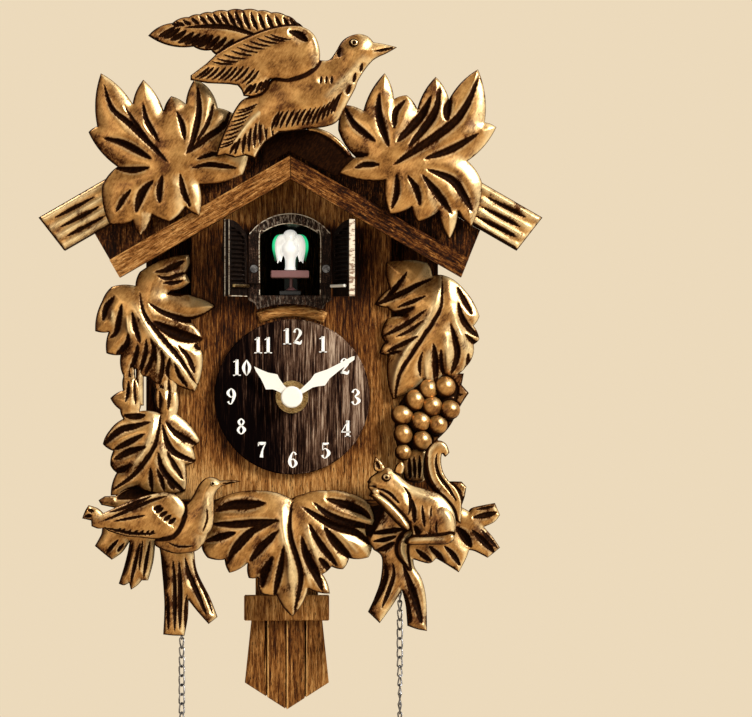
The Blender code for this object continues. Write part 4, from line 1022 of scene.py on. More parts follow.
def ball(build, centre, radii, dark=0.0, rub=0.0, rings=12, sides=18):
    """A closed rounded lump; what turns away from the upper right gets painted shade, what faces it a painted
    highlight.
    """
    points = []
    for i in range(rings + 1):
        a = math.pi * i / rings
        for j in range(sides):
            b = 2 * math.pi * j / sides
            points.append((math.sin(a) * math.cos(b), -math.cos(a), math.sin(a) * math.sin(b)))
    unit = np.array(points)
    light = unit @ (0.42, -0.80, 0.42)
    # Painted shade away from the light, painted highlight towards it.
    shade = smooth(light, 0.62, -0.10)
    rub_and_highlight = np.maximum(rub, 0.8 * smooth(light, 0.88, 1.0)) * (1 - shade)
    faces = rings_faces(rings + 1, sides)
    build.add(unit * radii + np.array(centre), faces, np.maximum(dark, shade * 0.9), rub_and_highlight)


def add_crest_bird():
    """The bird over the roof: far wing, tail, body and near wing, from back to front."""
    build = Build()
    body = loop_of(CREST_BODY)
    wing = loop_of(NEAR_WING)
    tail = loop_of(TAIL)
    barbs = row(
        [(-51.5, 169), (-42, 166), (-31, 164.5), (-20, 162)],
        [(-60, 163.8), (-49, 160.5), (-39.5, 158.5), (-27, 155)], 12, 1.7, -0.05,
    )
    barbs += row(
        [(-54, 170.2), (-40, 174), (-22, 176.2), (2, 172.5)],
        [(-50, 168.8), (-33, 169.3), (-15, 166.4), (5, 168.5)], 18, 1.15, 0.05,
    )
    shaft = (1.6, [(-50, 167.8), (-37, 168.6), (-26, 167.8), (-12, 163)])
    far = scalloped(ccw(FAR_WING), 0.10)
    # The far wing is darker all over and beside the near wing: painted shade.
    relief(
        build, far, FAR_WING_BACK, 3.2, 2.4, [*barbs, shaft], gloom=0.28, seed=11, under=[wing], wide=1.3,
        pitch=FINE,
    )
    stripes = row(
        [(-32.4, 113.2), (-29.2, 121), (-24.4, 130)], [(-25.4, 115.6), (-20.6, 124), (-14, 133.4)], 10,
        0.6, 0.05,
    )
    stripes += row(
        [(-27.4, 110), (-20, 110), (-12, 115), (-3, 121)],
        [(-24, 116), (-17.6, 122.5), (-10, 129), (-1, 130)], 10, 1.0, -0.04,
    )
    quill = (1.6, [(-27.5, 109.5), (-22.5, 119), (-16, 127), (-8, 133)])
    # The tail is a little darker all over and beside the near wing: painted shade.
    relief(
        build, tail, BIRD_BACK - 0.4, 3.4, 3.0, stripes, [quill], seed=12, gloom=0.12, under=[wing],
        wide=1.3, pitch=FINE,
    )
    belly = row(
        [(-4, 130.5), (8, 131.5), (16, 133), (24, 139)], [(-8.5, 121), (1, 122.4), (12, 124), (20, 129)],
        14, 0.95, 0.05,
    )
    breast = row([(27.5, 142), (30.5, 148.5), (33, 152)], [(26, 137), (29.5, 144), (32, 147.5)], 3, 1.0)
    neck = row([(14.5, 146), (19, 146)], [(14, 142), (19, 142)], 3, 0.8)
    mouth = (0.9, [(37.5, 156.8), (42, 157.6), (47, 158.8)])
    cheek = (1.2, [(23.5, 159), (22.2, 156.5), (22.5, 154)])
    cuts = [*belly, *breast, *neck, mouth, cheek]
    chest = (2.6, [(33.5, 155), (29, 148), (22, 141), (16, 135)])
    # Painted shade on the body beside the near wing.
    relief(
        build, body, BIRD_BACK, 3.8, 5.2, cuts, [chest], knee=6, seed=13, under=[wing], wide=1.3,
        pitch=FINE,
    )
    flight = row(
        [(-43.5, 144.3), (-34, 143.3), (-26, 142.8), (-20.5, 141)],
        [(-36, 150), (-27.5, 150), (-19.5, 150.5), (-13.5, 148.5)], 10, 0.9, 0.04,
    )
    coverts = row(
        [(-21, 137), (-15.5, 137.4), (-11.5, 139.5)], [(-17, 142), (-12.5, 143.5), (-8.5, 145)], 5, 1.1,
    )
    streaks = row(
        [(-36, 152.5), (-28, 157.5), (-18, 162.5), (-10, 165)],
        [(-25, 151), (-16, 155), (-7, 159.5), (1, 162)], 10, 0.7, 0.06,
    )
    hollow = (2.4, [(-1, 166), (4, 164.5), (8.5, 161)])
    edge = (1.3, [(9.5, 165), (12, 160), (12.3, 155)])
    cuts = [*flight, *coverts, *streaks, hollow]
    relief(
        build, wing, NEAR_WING_BACK, 3.6, 2.6, cuts, [edge], knee=4, seed=14, wide=1.3, pitch=FINE,
    )
    ball(build, (29.0, -91.9, 160.6), (2.3, 0.6, 1.9), 0.95)
    ball(build, (29.1, -92.2, 160.6), (1.75, 0.7, 1.45), 0.0, 1.0)
    ball(build, (29.3, -92.7, 160.7), (1.0, 0.5, 1.0), 0.95, 0, 8, 12)
    bronze(build, "crest_bird_carving", "crest_bird")


def add_small_bird():
    """The bird at the lower left."""
    build = Build()
    back = back_of("small_bird")
    quills = [
        (1.2, [(-84.5, -53), (-77, -51), (-63, -45)]),
        (1.3, [(-88.5, -57.5), (-80.5, -54.5), (-64, -47.5), (-55.5, -45)]),
        (1.0, [(-86.5, -59.5), (-79.5, -61), (-71.5, -62.5), (-61, -62.5)]),
        (1.2, [(-95, -55), (-93, -54.5), (-91, -54)]),
        (1.2, [(-93, -51.5), (-91.5, -52), (-90, -52.5)]),
        (0.9, [(-82, -57), (-74, -55.5), (-66, -54)]),
    ]
    quills += row(
        [(-59, -49.5), (-54.5, -53.5), (-47, -58.5)], [(-63, -51.5), (-58.5, -56.5), (-50, -62)], 8, 1.4,
    )
    quills += row(
        [(-80.5, -62), (-72, -63.3), (-65, -63.5)], [(-77.5, -60), (-69.5, -60.8), (-62.5, -61)], 7, 0.8,
    )
    body = loop_of(SMALL_BODY)
    cuts = [
        (0.7, [(-32, -39.8), (-28, -39.4), (-23.5, -38.9)]),
        (0.9, [(-57, -66), (-51, -68.5), (-44, -68)]),
        (0.8, [(-38.5, -50), (-38.2, -56), (-40.5, -62)]),
    ]
    wing = loop_of(SMALL_WING)
    breast = (3.2, [(-37.6, -43.5), (-37.8, -50), (-38.6, -56), (-41, -63)])
    # Painted shade on the body beside the wing.
    relief(build, body, back, 4.4, 4.6, cuts, [breast], seed=21, under=[wing], pitch=FINE)
    leading = (1.6, [(-92, -56), (-78, -51.5), (-66, -46), (-56, -44.8), (-50.5, -50)])
    relief(build, wing, back - 2.2, 3.4, 3.0, quills, [leading], seed=22, wide=1.25, pitch=FINE)
    front = back - 8.4
    ball(build, (-35.6, front, -39.6), (1.25, 0.7, 1.25), 0.0, 1.0, 8, 14)
    ball(build, (-35.5, front - 0.5, -39.5), (0.75, 0.5, 0.75), 0.95, 0, 8, 12)
    bronze(build, "small_bird_carving", "small_bird")


# ---------------------------------------------------------------- squirrel, twigs and grapes
SQUIRREL_BODY = [
    (35.4, -39, 1), (36.2, -37), (38.8, -35), (41.5, -32.8), (45, -32.3), (48.5, -34.6), (51.5, -37.6),
    (56, -40.6), (62.8, -42.4), (68, -44.4), (72, -48), (75, -52.5), (75.8, -59), (74.6, -65),
    (71, -67), (61, -67.4), (54, -67.7), (52.2, -66), (55.4, -63.4, 1), (54.9, -60.6), (51, -60.2),
    (43.5, -52.8), (38.8, -47.6), (35.8, -45.2, 1), (36.4, -43.2), (35.3, -41.4),
]
SQUIRREL_TAIL = [
    (77.5, -58), (73, -54), (70.5, -49), (67, -45), (63.5, -41), (61, -36.5), (60.9, -30),
    (61.9, -24.8), (64.6, -21.2), (68.1, -19.9), (71.3, -21.6), (72.8, -25.4, 1), (70.8, -27.4),
    (69.4, -26), (69.0, -30), (70.0, -34.5), (72.5, -38.5), (76, -42), (78.2, -47), (78.4, -52),
    (78, -58),
]
TAIL_LINE = [
    (75.5, -54), (73.5, -49), (69.3, -44), (65.2, -38.6), (63.3, -32), (63.6, -25.6), (66.0, -22),
    (69.2, -21.6), (71.6, -24.6),
]
SQUIRREL_LEG = [
    (36.2, -44.7, 1), (39.2, -43.8), (43.8, -46.6), (48, -50.6), (52, -54.8), (54.4, -58.6),
    (54, -60.8), (51.2, -60.0), (45.6, -54.2), (40.2, -48.4),
]
HORN = [
    (57.5, -60.4, 1), (52.5, -62), (49.2, -66.5), (49.2, -72.5), (54.6, -79.0, 1), (53.6, -73.5),
    (53.4, -69), (54.6, -64.8),
]
HAUNCH = [
    (58.5, -66.8), (55.5, -64.8, 1), (59.5, -61.5), (60.5, -56), (64, -51.5), (69, -49.6),
    (73.5, -52.5), (75.4, -58.5), (73.8, -64.8), (68, -66.9),
]
HIND_FOOT = [
    (53.2, -65.8), (55.5, -64.3), (62, -63.8), (68, -63.2), (74.2, -62.6), (74.6, -65.6), (70.5, -67.4),
    (60, -67.5), (54, -67.6),
]
FAR_EAR = [(47.4, -34.4), (48.4, -31.0), (50.8, -29.6), (52.2, -31.6), (50.9, -35.2)]
EAR = [(38.4, -33.6), (37.9, -30.4), (38.8, -27.2, 1), (41.2, -29.2), (43.2, -32.4), (41.4, -34.2)]
LEAF_BEHIND = [
    (70, -39.4), (73, -38.8), (78.5, -38.9, 1), (80.6, -41.2, 1), (79.8, -46), (78, -51, 1), (73, -48),
]
TWIGS_LEFT = [
    (-85, -58), (-70, -53), (-52, -52), (-45.5, -67), (-43.5, -80), (-37.5, -92.5), (-34, -101.4, 1),
    (-38, -104.6, 1), (-43, -99), (-47.3, -93.6, 1), (-47.7, -102), (-49.2, -110, 1), (-54.2, -109.9),
    (-58.9, -109.4, 1), (-58.4, -95), (-59.6, -79), (-60.6, -70), (-62.6, -66.5, 1), (-63.4, -75),
    (-65, -81.5), (-66, -84.5, 1), (-68.8, -84.5, 1), (-70.8, -86.8), (-73.8, -88.8, 1),
    (-74.6, -85.6, 1), (-77, -86.8), (-79.4, -86, 1), (-77.2, -79), (-75.4, -72), (-74.4, -66.6, 1),
    (-78, -71.8), (-82.6, -75, 1), (-86.4, -72), (-90.4, -68.6, 1), (-87.6, -63.6),
]
TWIGS_RIGHT = [
    (48, -49.4), (58, -49.8), (75, -50), (81.8, -52.6, 1), (84, -50.9), (93.9, -48.9, 1),
    (96.2, -54.4, 1), (93.6, -57.6), (88.8, -59.9, 1), (92.8, -64.4), (96.2, -69.4, 1), (93.4, -71.8),
    (90.5, -74.1, 1), (84.8, -71.2), (82, -70.5, 1), (80.6, -74.4), (77.2, -80.8, 1), (72, -77.5),
    (66.8, -74.4, 1), (63.4, -76.7), (56.3, -74.8, 1), (57, -78.6), (60.2, -84), (62.2, -93),
    (62.6, -107.8, 1), (58, -107), (53.5, -105.4, 1), (52.7, -96), (51, -89.2, 1), (46.7, -96),
    (40.8, -104.2, 1), (35.4, -99, 1), (38.4, -92.5), (41.2, -84), (41.7, -74), (38, -70.5, 1),
    (35.4, -66), (33.6, -59), (36.4, -51.4), (42, -49.6),
]
TWIG_CUTS_LEFT = [
    (1.4, [(-72.5, -66), (-74.5, -73), (-77.5, -83)]),
    (1.6, [(-51.5, -73), (-51, -90), (-51.2, -108)]),
    (1.3, [(-79, -65), (-82.5, -69), (-85.5, -72.5)]),
    (1.1, [(-76.5, -67), (-78.5, -69.5), (-80, -71.5)]),
    (1.3, [(-69, -65.5), (-71, -73.5), (-74, -86.5)]),
    (1.2, [(-64.5, -65), (-66, -72.5), (-68, -84)]),
    (0.9, [(-68, -65), (-69, -72.5), (-70, -80.5)]),
    (1.8, [(-59.5, -71), (-58, -84), (-57.5, -89.5)]),
    (1.4, [(-54.5, -72.5), (-53.5, -86.5), (-53.5, -109)]),
    (0.9, [(-57, -89.5), (-56.7, -98), (-56.5, -108)]),
    (1.8, [(-49, -72), (-47, -81), (-42.5, -91.5), (-38.5, -101)]),
    (1.0, [(-45.5, -72.5), (-43.5, -81.5), (-39, -91.5), (-35.5, -101)]),
    (1.1, [(-47.5, -89.5), (-48.5, -96), (-48.5, -109)]),
]
TWIG_CUTS_RIGHT = [
    (2.1, [(83, -55.5), (89, -54.5), (95, -53)]),
    (0.9, [(84.5, -52), (89, -51.2), (93.5, -50.3)]),
    (2.2, [(82.5, -60.5), (90.5, -68.5), (94, -72)]),
    (1.1, [(87, -60.5), (91.5, -65.5), (95.3, -70)]),
    (3.2, [(75, -59.5), (79, -63), (83, -69.5)]),
    (1.8, [(57, -69.5), (61, -73), (65, -76)]),
    (1.9, [(63, -68), (68, -73), (71, -76.5)]),
    (1.9, [(70, -68), (74.5, -72.5), (78, -78)]),
    (2.0, [(42.5, -74.5), (43.5, -83), (37.5, -97)]),
    (1.5, [(46.5, -75), (47, -83), (41.5, -98)]),
    (2.6, [(51, -75.5), (54.5, -85.5), (58, -96), (60, -105)]),
    (1.2, [(52, -89.5), (54, -96), (55, -104.5)]),
    (1.8, [(35.5, -62.8), (44, -61.8), (53, -60.5)]),
    (1.6, [(37, -66.6), (43.5, -65.5), (49, -63.8)]),
    (2.0, [(38, -71), (43, -69.6), (48, -66.5)]),
    (5.4, [(35.6, -66), (36.8, -60), (39.6, -52), (46, -48)]),
]
GRAPES = [
    (70.8, 4.6, 4.9), (63.0, 3.4, 4.6), (57.0, -1.6, 4.9), (64.8, -4.4, 4.9), (73.0, -6.0, 4.7),
    (51.0, -8.4, 4.9), (59.4, -11.4, 4.9), (67.4, -12.8, 4.7), (51.5, -17.2, 4.7), (60.2, -20.2, 4.7),
    (51.6, -25.6, 3.9),
]
STALK = [
    (49.5, -4), (54, 2.5), (59, 8), (68, 11), (73.5, 11, 1), (79.6, 10.8, 1), (78.6, 5.6, 1),
    (81.9, 1.8, 1), (78.6, -3.2), (75.5, -9.4, 1), (72, -15), (66, -21), (62.4, -25), (58, -27),
    (54, -28), (51, -27), (48.5, -22), (47.6, -14),
]
FLUTES = [(51.6, -26), (57, -24), (62.2, -25), (61.6, -31), (61.2, -38.8), (52.8, -38.4), (51.4, -31)]


def add_squirrel():
    """The squirrel at the lower right, from its back layers to its front ones."""
    build = Build()
    back = back_of("squirrel")
    body = loop_of(SQUIRREL_BODY)
    haunch = loop_of(HAUNCH)
    leg = loop_of(SQUIRREL_LEG)
    foot = loop_of(HIND_FOOT)
    tail = loop_of(SQUIRREL_TAIL)
    vein = [(1.4, [(72, -42), (76, -42.5), (79, -44)])]
    # The leaf behind is a little darker all over and beside the tail: painted shade.
    relief(build, loop_of(LEAF_BEHIND), back + 2.5, 3.6, 1.6, vein, gloom=0.15, seed=31, under=[tail])
    shadow = (4.6, [(77, -58), (72.6, -51.6), (67, -46.4), (62.2, -40), (60.9, -32), (61.6, -27)])
    fur = [(1.5, [(67.4, -24), (66.6, -30), (68.2, -36.2), (72.4, -42), (76.6, -48.6)])]
    # The tail is a little darker all over and beside the body: painted shade.
    relief(
        build, tail, back - 1.5, 3.4, 1.6, [shadow, *fur], [(1.7, TAIL_LINE)], gloom=0.15, seed=32,
        under=[body], pitch=FINE,
    )
    chin = (1.3, [(38.6, -41.6), (42, -42.4), (46, -44.6), (50, -49)])
    shoulder = (1.3, [(50.8, -40), (54.2, -44.5), (54.8, -50), (53.6, -54.5)])
    belly = (2.6, [(56.4, -58.5), (58.2, -61.5), (59.2, -64.8)])
    snout = (0.7, [(35.8, -40.9), (37.5, -40.8), (39.5, -41.2)])
    flank = [
        (1.9, [(55.4, -46), (56.4, -51.5), (56.6, -58)]),
        (1.2, [(60.2, -48.5), (60.6, -54), (61.4, -60)]),
        (0.9, [(64.6, -49), (64.2, -54), (65, -60.5)]),
    ]
    spine = (3.0, [(46, -34.5), (53, -41.5), (62, -45), (69, -47.6)])
    # Painted shade on the body beside the foreleg and the hind foot.
    relief(
        build, body, back, 4.4, 5.0, [chin, shoulder, belly, snout, *flank], [spine], knee=6, seed=33,
        under=[leg, foot], pitch=FINE,
    )
    glow = (3.2, [(67, -51.5), (71, -53), (73.2, -57), (72.8, -62)])
    crease = [
        (1.0, [(62.6, -56), (62.8, -60.5), (64.4, -64)]), (0.8, [(67, -56), (66.6, -60), (67.6, -64)]),
    ]
    # Painted shade on the haunch beside the hind foot.
    relief(
        build, haunch, back - 4.8, 1.6, 3.4, crease, [glow], knee=5, rim=1.4, seed=34, under=[foot],
        pitch=FINE,
    )
    relief(
        build, leg, back - 5.0, 2.4, 1.8, [], [(1.4, [(38, -45), (44.5, -48.5), (52, -56)])], knee=2.5,
        rim=1.6, seed=35, pitch=FINE,
    )
    relief(
        build, foot, back - 5.6, 2.2, 1.6, [], [(1.3, [(54, -65.4), (62, -64.8), (71, -65)])], knee=2,
        rim=1.2, seed=37, pitch=FINE,
    )
    hollow = (1.5, [(39.2, -29.0), (39.9, -31), (40.8, -33)])
    layer(build, EAR, back - 4.2, 2.8, 1.0, [hollow], knee=1.5, rim=0.8, seed=36, spacing=0.6)
    layer(build, FAR_EAR, back - 3.2, 2.6, 1.0, [], knee=1.5, rim=0.8, seed=38, spacing=0.6)
    front = back - 8.2
    ball(build, (43.7, front + 0.2, -36.8), (2.2, 0.5, 1.9), 0.85, 0, 10, 18)
    ball(build, (43.8, front - 0.1, -36.7), (1.75, 0.6, 1.5), 0.0, 0.5, 10, 18)
    ball(build, (43.9, front - 0.6, -36.7), (0.75, 0.4, 0.7), 0.85, 0, 8, 12)
    ball(build, (35.9, back - 5.2, -38.8), (0.9, 0.9, 0.8), 0.8, 0, 8, 12)
    ball(build, (38.9, back - 6.2, -43.4), (1.9, 1.4, 1.6), 0.0, 0.5, 10, 16)
    bronze(build, "squirrel_carving", "squirrel")


def add_twigs():
    """The twigs and small leaves under the bird and under the squirrel."""
    for node, outline, cuts, seed in (
        ("twigs_left", TWIGS_LEFT, TWIG_CUTS_LEFT, 41),
        ("twigs_right", TWIGS_RIGHT, TWIG_CUTS_RIGHT, 42),
    ):
        back = back_of(node)
        over = [loop_of(HORN, 0.6)] if node == "twigs_right" else []
        outline = loop_of(outline, 0.9)
        # On the right twigs, painted shade beside the horn that lies on them.
        build = relief(
            Build(), outline, back, 4.2, 3.0, cuts, knee=2.5, wide=1.2, seed=seed, pitch=FINE, under=over,
        )
        for loop in over:
            ridge = (1.6, [(55.5, -61.8), (51.4, -66), (51.2, -71.5), (54, -77)])
            relief(build, loop, back - 5.0, 2.6, 1.8, [], [ridge], knee=1.6, seed=43, pitch=FINE)
        bronze(build, f"{node}_carving", node)


def add_grapes():
    """The bunch of grapes, its stalk and the fluted piece under it."""
    build = Build()
    back = back_of("grapes")
    rings = [
        [(x + r * math.cos(0.5 * i), z + r * math.sin(0.5 * i)) for i in range(13)]
        for x, z, r in GRAPES
    ]
    veins = [(1.6, [(74.5, 8.5), (76.5, 4), (75, -4)]), (1.2, [(79.5, 1), (76.5, 1), (73, 0)])]
    # The stalk behind the grapes is darker all over and round each grape: painted shade.
    layer(build, STALK, back, 2.8, 1.2, veins, gloom=0.42, seed=51, under=rings, spacing=0.9)
    grooves = row([(54.2, -27), (59.2, -26)], [(54.8, -38), (59.2, -38)], 3, 1.4)
    lights = row([(56, -27), (61, -26)], [(56.2, -38), (60.4, -38)], 2, 1.0)
    layer(build, FLUTES, back - 0.4, 3.0, 1.4, grooves, lights, knee=2, seed=52)
    for i, (x, z, r) in enumerate(GRAPES):
        lean = 0.05 * math.sin(5.3 * i)
        radii = (r * (1 + lean), r * 1.05, r * (1 - lean))
        ball(build, (x, back - 3.1 - 0.45 * r, z), radii, rings=14, sides=22)
    bronze(build, "grapes_carving", "grapes")


# ---------------------------------------------------------------- beam ends
APEX_Z = 99.8
SLOPE = math.radians(30)
BEAM_FROM, BEAM_TO = 52.0, 108.6
BEAM_LOW, BEAM_HIGH = 23.5, 42.3


def on_slope(side, s, n):
    """The (x, z) point a distance s down the roof's slope and n square to it; side is -1 at the left."""
    return (
        side * (s * math.cos(SLOPE) + n * math.sin(SLOPE)),
        APEX_Z - s * math.sin(SLOPE) + n * math.cos(SLOPE),
    )


def add_beams():
    """The carved ends of the two beams, beside the roof."""
    for side, word in ((-1, "left"), (1, "right")):
        node = f"beam_{word}"
        outline = [
            on_slope(side, BEAM_FROM, BEAM_LOW),
            on_slope(side, BEAM_TO - 2.6, BEAM_LOW),
            on_slope(side, BEAM_TO, BEAM_HIGH),
            on_slope(side, BEAM_FROM, BEAM_HIGH),
        ]
        cuts = [
            (1.5, [on_slope(side, 80, n), on_slope(side, 91, n + 0.3), on_slope(side, 103, n + 0.8)])
            for n in (27.6, 32.6, 37.6)
        ]
        # Raised lines between the gouges, pale as rubbed paint and painted highlight.
        worn = [
            (2.3, [on_slope(side, 70, n), on_slope(side, 95, n), on_slope(side, 114, n)])
            for n in (25.2, 30.1, 35.1, 40.4)
        ]
        # The right beam is a little darker all over: painted shade.
        build = relief(
            Build(), scalloped(ccw(outline), 0.0), back_of(node), 10.6, 1.2, cuts, worn, rim=1.6, knee=3,
            seed=61, gloom=max(0, 0.14 * side),
        )
        bronze(build, f"{node}_carving", node)


# ---------------------------------------------------------------- dial
AXIS_X = 0.4
NUMERAL_H = 7.4
STROKES = {
    "0": [
        [
            (0.30, 0.98, 0.05), (0.11, 0.50, 0.20), (0.30, 0.02, 0.05), (0.49, 0.50, 0.20),
            (0.30, 0.98, 0.05),
        ],
    ],
    "1": [
        [(0.32, 1.0, 0.20), (0.32, 0.0, 0.20)], [(0.10, 0.84, 0.05), (0.30, 0.96, 0.07)],
        [(0.08, 0.03, 0.06), (0.56, 0.03, 0.06)],
    ],
    "2": [
        [
            (0.10, 0.74, 0.17), (0.16, 0.92, 0.08), (0.32, 0.97, 0.06), (0.48, 0.74, 0.20),
            (0.34, 0.44, 0.12), (0.08, 0.10, 0.05),
        ],
        [(0.05, 0.10, 0.07), (0.26, 0.12, 0.18), (0.46, 0.07, 0.16), (0.56, 0.26, 0.04)],
    ],
    "3": [
        [
            (0.10, 0.77, 0.16), (0.18, 0.94, 0.07), (0.32, 0.97, 0.06), (0.46, 0.76, 0.18),
            (0.24, 0.53, 0.05),
        ],
        [
            (0.24, 0.53, 0.05), (0.50, 0.27, 0.21), (0.30, 0.03, 0.06), (0.16, 0.06, 0.07),
            (0.09, 0.22, 0.17),
        ],
    ],
    "4": [
        [(0.42, 0.96, 0.05), (0.04, 0.30, 0.05)], [(0.02, 0.29, 0.06), (0.60, 0.29, 0.06)],
        [(0.42, 1.0, 0.20), (0.42, 0.0, 0.20)], [(0.24, 0.03, 0.06), (0.60, 0.03, 0.06)],
    ],
    "5": [
        [(0.12, 0.92, 0.13), (0.30, 0.90, 0.14), (0.50, 0.95, 0.09)],
        [(0.12, 0.94, 0.05), (0.12, 0.52, 0.05)],
        [
            (0.12, 0.52, 0.04), (0.30, 0.61, 0.06), (0.50, 0.33, 0.21), (0.30, 0.03, 0.06),
            (0.16, 0.06, 0.07), (0.09, 0.20, 0.16),
        ],
    ],
    "6": [
        [
            (0.49, 0.82, 0.14), (0.42, 0.95, 0.07), (0.28, 0.95, 0.07), (0.12, 0.52, 0.20),
            (0.14, 0.22, 0.18), (0.31, 0.03, 0.05), (0.50, 0.29, 0.19), (0.32, 0.56, 0.05),
            (0.17, 0.42, 0.05),
        ],
    ],
    "7": [
        [(0.07, 0.72, 0.04), (0.10, 0.90, 0.10)],
        [(0.07, 0.91, 0.12), (0.30, 0.89, 0.19), (0.55, 0.93, 0.10)],
        [(0.54, 0.92, 0.05), (0.34, 0.50, 0.10), (0.26, 0.02, 0.22)],
    ],
    "8": [
        [
            (0.30, 0.98, 0.05), (0.15, 0.78, 0.15), (0.30, 0.55, 0.10), (0.46, 0.78, 0.12),
            (0.30, 0.98, 0.05),
        ],
        [
            (0.30, 0.55, 0.07), (0.11, 0.27, 0.16), (0.30, 0.02, 0.05), (0.50, 0.28, 0.20),
            (0.30, 0.55, 0.07),
        ],
    ],
}
NUMERAL_PLACES = {
    "12": (0.5, 27.9), "1": (14.6, 24.2), "2": (24.7, 14.1), "3": (29.8, 0.0), "4": (25.2, -14.6),
    "5": (15.9, -24.6), "6": (0.8, -29.0), "7": (-13.4, -24.3), "8": (-23.0, -13.5), "9": (-27.6, 0.3),
    "10": (-22.8, 13.5), "11": (-13.0, 23.8),
}
NUMERAL_FRONT = 0.12  # how far the paint stands off the dial


def ribbon(build, stroke, origin, size, face, flip=False):
    """A flat pen stroke: its points are (x, z, width), each a part of the digit's height."""
    pen = np.array(stroke)
    if flip:
        pen = pen * (-1, -1, 1) + (0.6, 1.0, 0)
    steps = 10 if len(pen) > 2 else 1
    line = []
    for i in range(len(pen) - 1):
        a, b, c, d = pen[max(i - 1, 0)], pen[i], pen[i + 1], pen[min(i + 2, len(pen) - 1)]
        for t in np.arange(steps) / steps:
            line.append(between(a, b, c, d, t))
    line = np.array([*line, pen[-1]])
    along = np.gradient(line[:, :2], axis=0)
    along /= np.maximum(np.hypot(*along.T), 1e-9)[:, None]
    square = np.column_stack([-along[:, 1], along[:, 0]]) * line[:, 2:3] / 2
    rims = [(line[:, :2] + square) * size + origin, (line[:, :2] - square) * size + origin]
    points, count = [], len(line)
    for y in (face, face + 0.25):
        for rim in rims:
            points += [(x, y, z) for x, z in rim]
    faces = []
    for i in range(count - 1):
        a, b, c, d = i, i + count, i + 2 * count, i + 3 * count
        faces += [(a, a + 1, b + 1, b), (c, d, d + 1, c + 1), (a, c, c + 1, a + 1), (b, b + 1, d + 1, d)]
    last = count - 1
    faces += [(0, count, 3 * count, 2 * count), (last, last + 2 * count, last + 3 * count, last + count)]
    build.add(points, faces)


def add_dial():
    """The wooden dial and its painted numerals."""
    low, high = mm_box("dial")
    radius = (high.x - low.x) / 2
    profile = [
        (4.3, high.y), (radius, high.y), (radius, low.y + 0.7), (radius - 0.25, low.y + 0.2),
        (radius - 0.8, low.y), (4.3, low.y),
    ]
    sides = 128
    points = [
        (AXIS_X + r * math.cos(2 * math.pi * j / sides), y, r * math.sin(2 * math.pi * j / sides))
        for r, y in profile
        for j in range(sides)
    ]
    plate = Build().add(points, rings_faces(len(profile), sides, True))
    plate.piece("dial_plate", "dial_wood", replaces=["dial"])
    build = Build()
    for text, (x, z) in NUMERAL_PLACES.items():
        pitch = NUMERAL_H * (0.66 if text == "12" else 0.62)
        for i, digit in enumerate(text):
            shift = (i - (len(text) - 1) / 2) * pitch
            origin = np.array((x + shift - 0.30 * NUMERAL_H, z - NUMERAL_H / 2))
            for stroke in STROKES["6" if digit == "9" else digit]:
                ribbon(build, stroke, origin, NUMERAL_H, low.y - NUMERAL_FRONT, digit == "9")
    build.piece("numerals", "numeral_white", slot="white_plastic")


# ---------------------------------------------------------------- doors
DOORWAY_X = -0.5
DOOR_W, DOOR_T = 18.4, 3.7
DOOR_FOOT, DOOR_TOP, DOOR_RISE = 46.2, 81.3, 7.2
SLATS, SLAT_PITCH, SLAT_HALF = 13, 2.05, 0.85
SLAT_TILT = Matrix.Rotation(math.radians(-35), 4, "X")
STILE, HEAD_RAIL, FOOT_RAIL = 2.4, 3.2, 6.2


def box_into(build, low, high, turn):
    """A box between two corners, moved by a matrix."""
    corners = itertools.product(*zip(low, high))
    faces = [(0, 1, 3, 2), (4, 6, 7, 5), (0, 4, 5, 1), (2, 3, 7, 6), (0, 2, 6, 4), (1, 5, 7, 3)]
    build.add([tuple(turn @ Vector(corner)) for corner in corners], faces)


def door_top(u):
    """The height of a door's arched head, a distance u from its hinge."""
    radius = (DOOR_W**2 + DOOR_RISE**2) / (2 * DOOR_RISE)
    return DOOR_TOP - radius + math.sqrt(radius**2 - (DOOR_W - u) ** 2)


def strip_into(build, us, z_low, z_high, w0, w1, turn):
    """A board whose lower and upper edges are functions of u."""
    points = []
    for u in us:
        points += [(u, w0, z_low(u)), (u, w0, z_high(u)), (u, w1, z_high(u)), (u, w1, z_low(u))]
    count = len(us)
    faces = [
        tuple(i * 4 + k for k in order)
        for i, order in ((0, (0, 3, 2, 1)), (count - 1, (0, 1, 2, 3)))
    ]
    for i in range(count - 1):
        for k in range(4):
            m = (k + 1) % 4
            faces.append((i * 4 + k, (i + 1) * 4 + k, (i + 1) * 4 + m, i * 4 + m))
    build.add([tuple(turn @ Vector(p)) for p in points], faces)


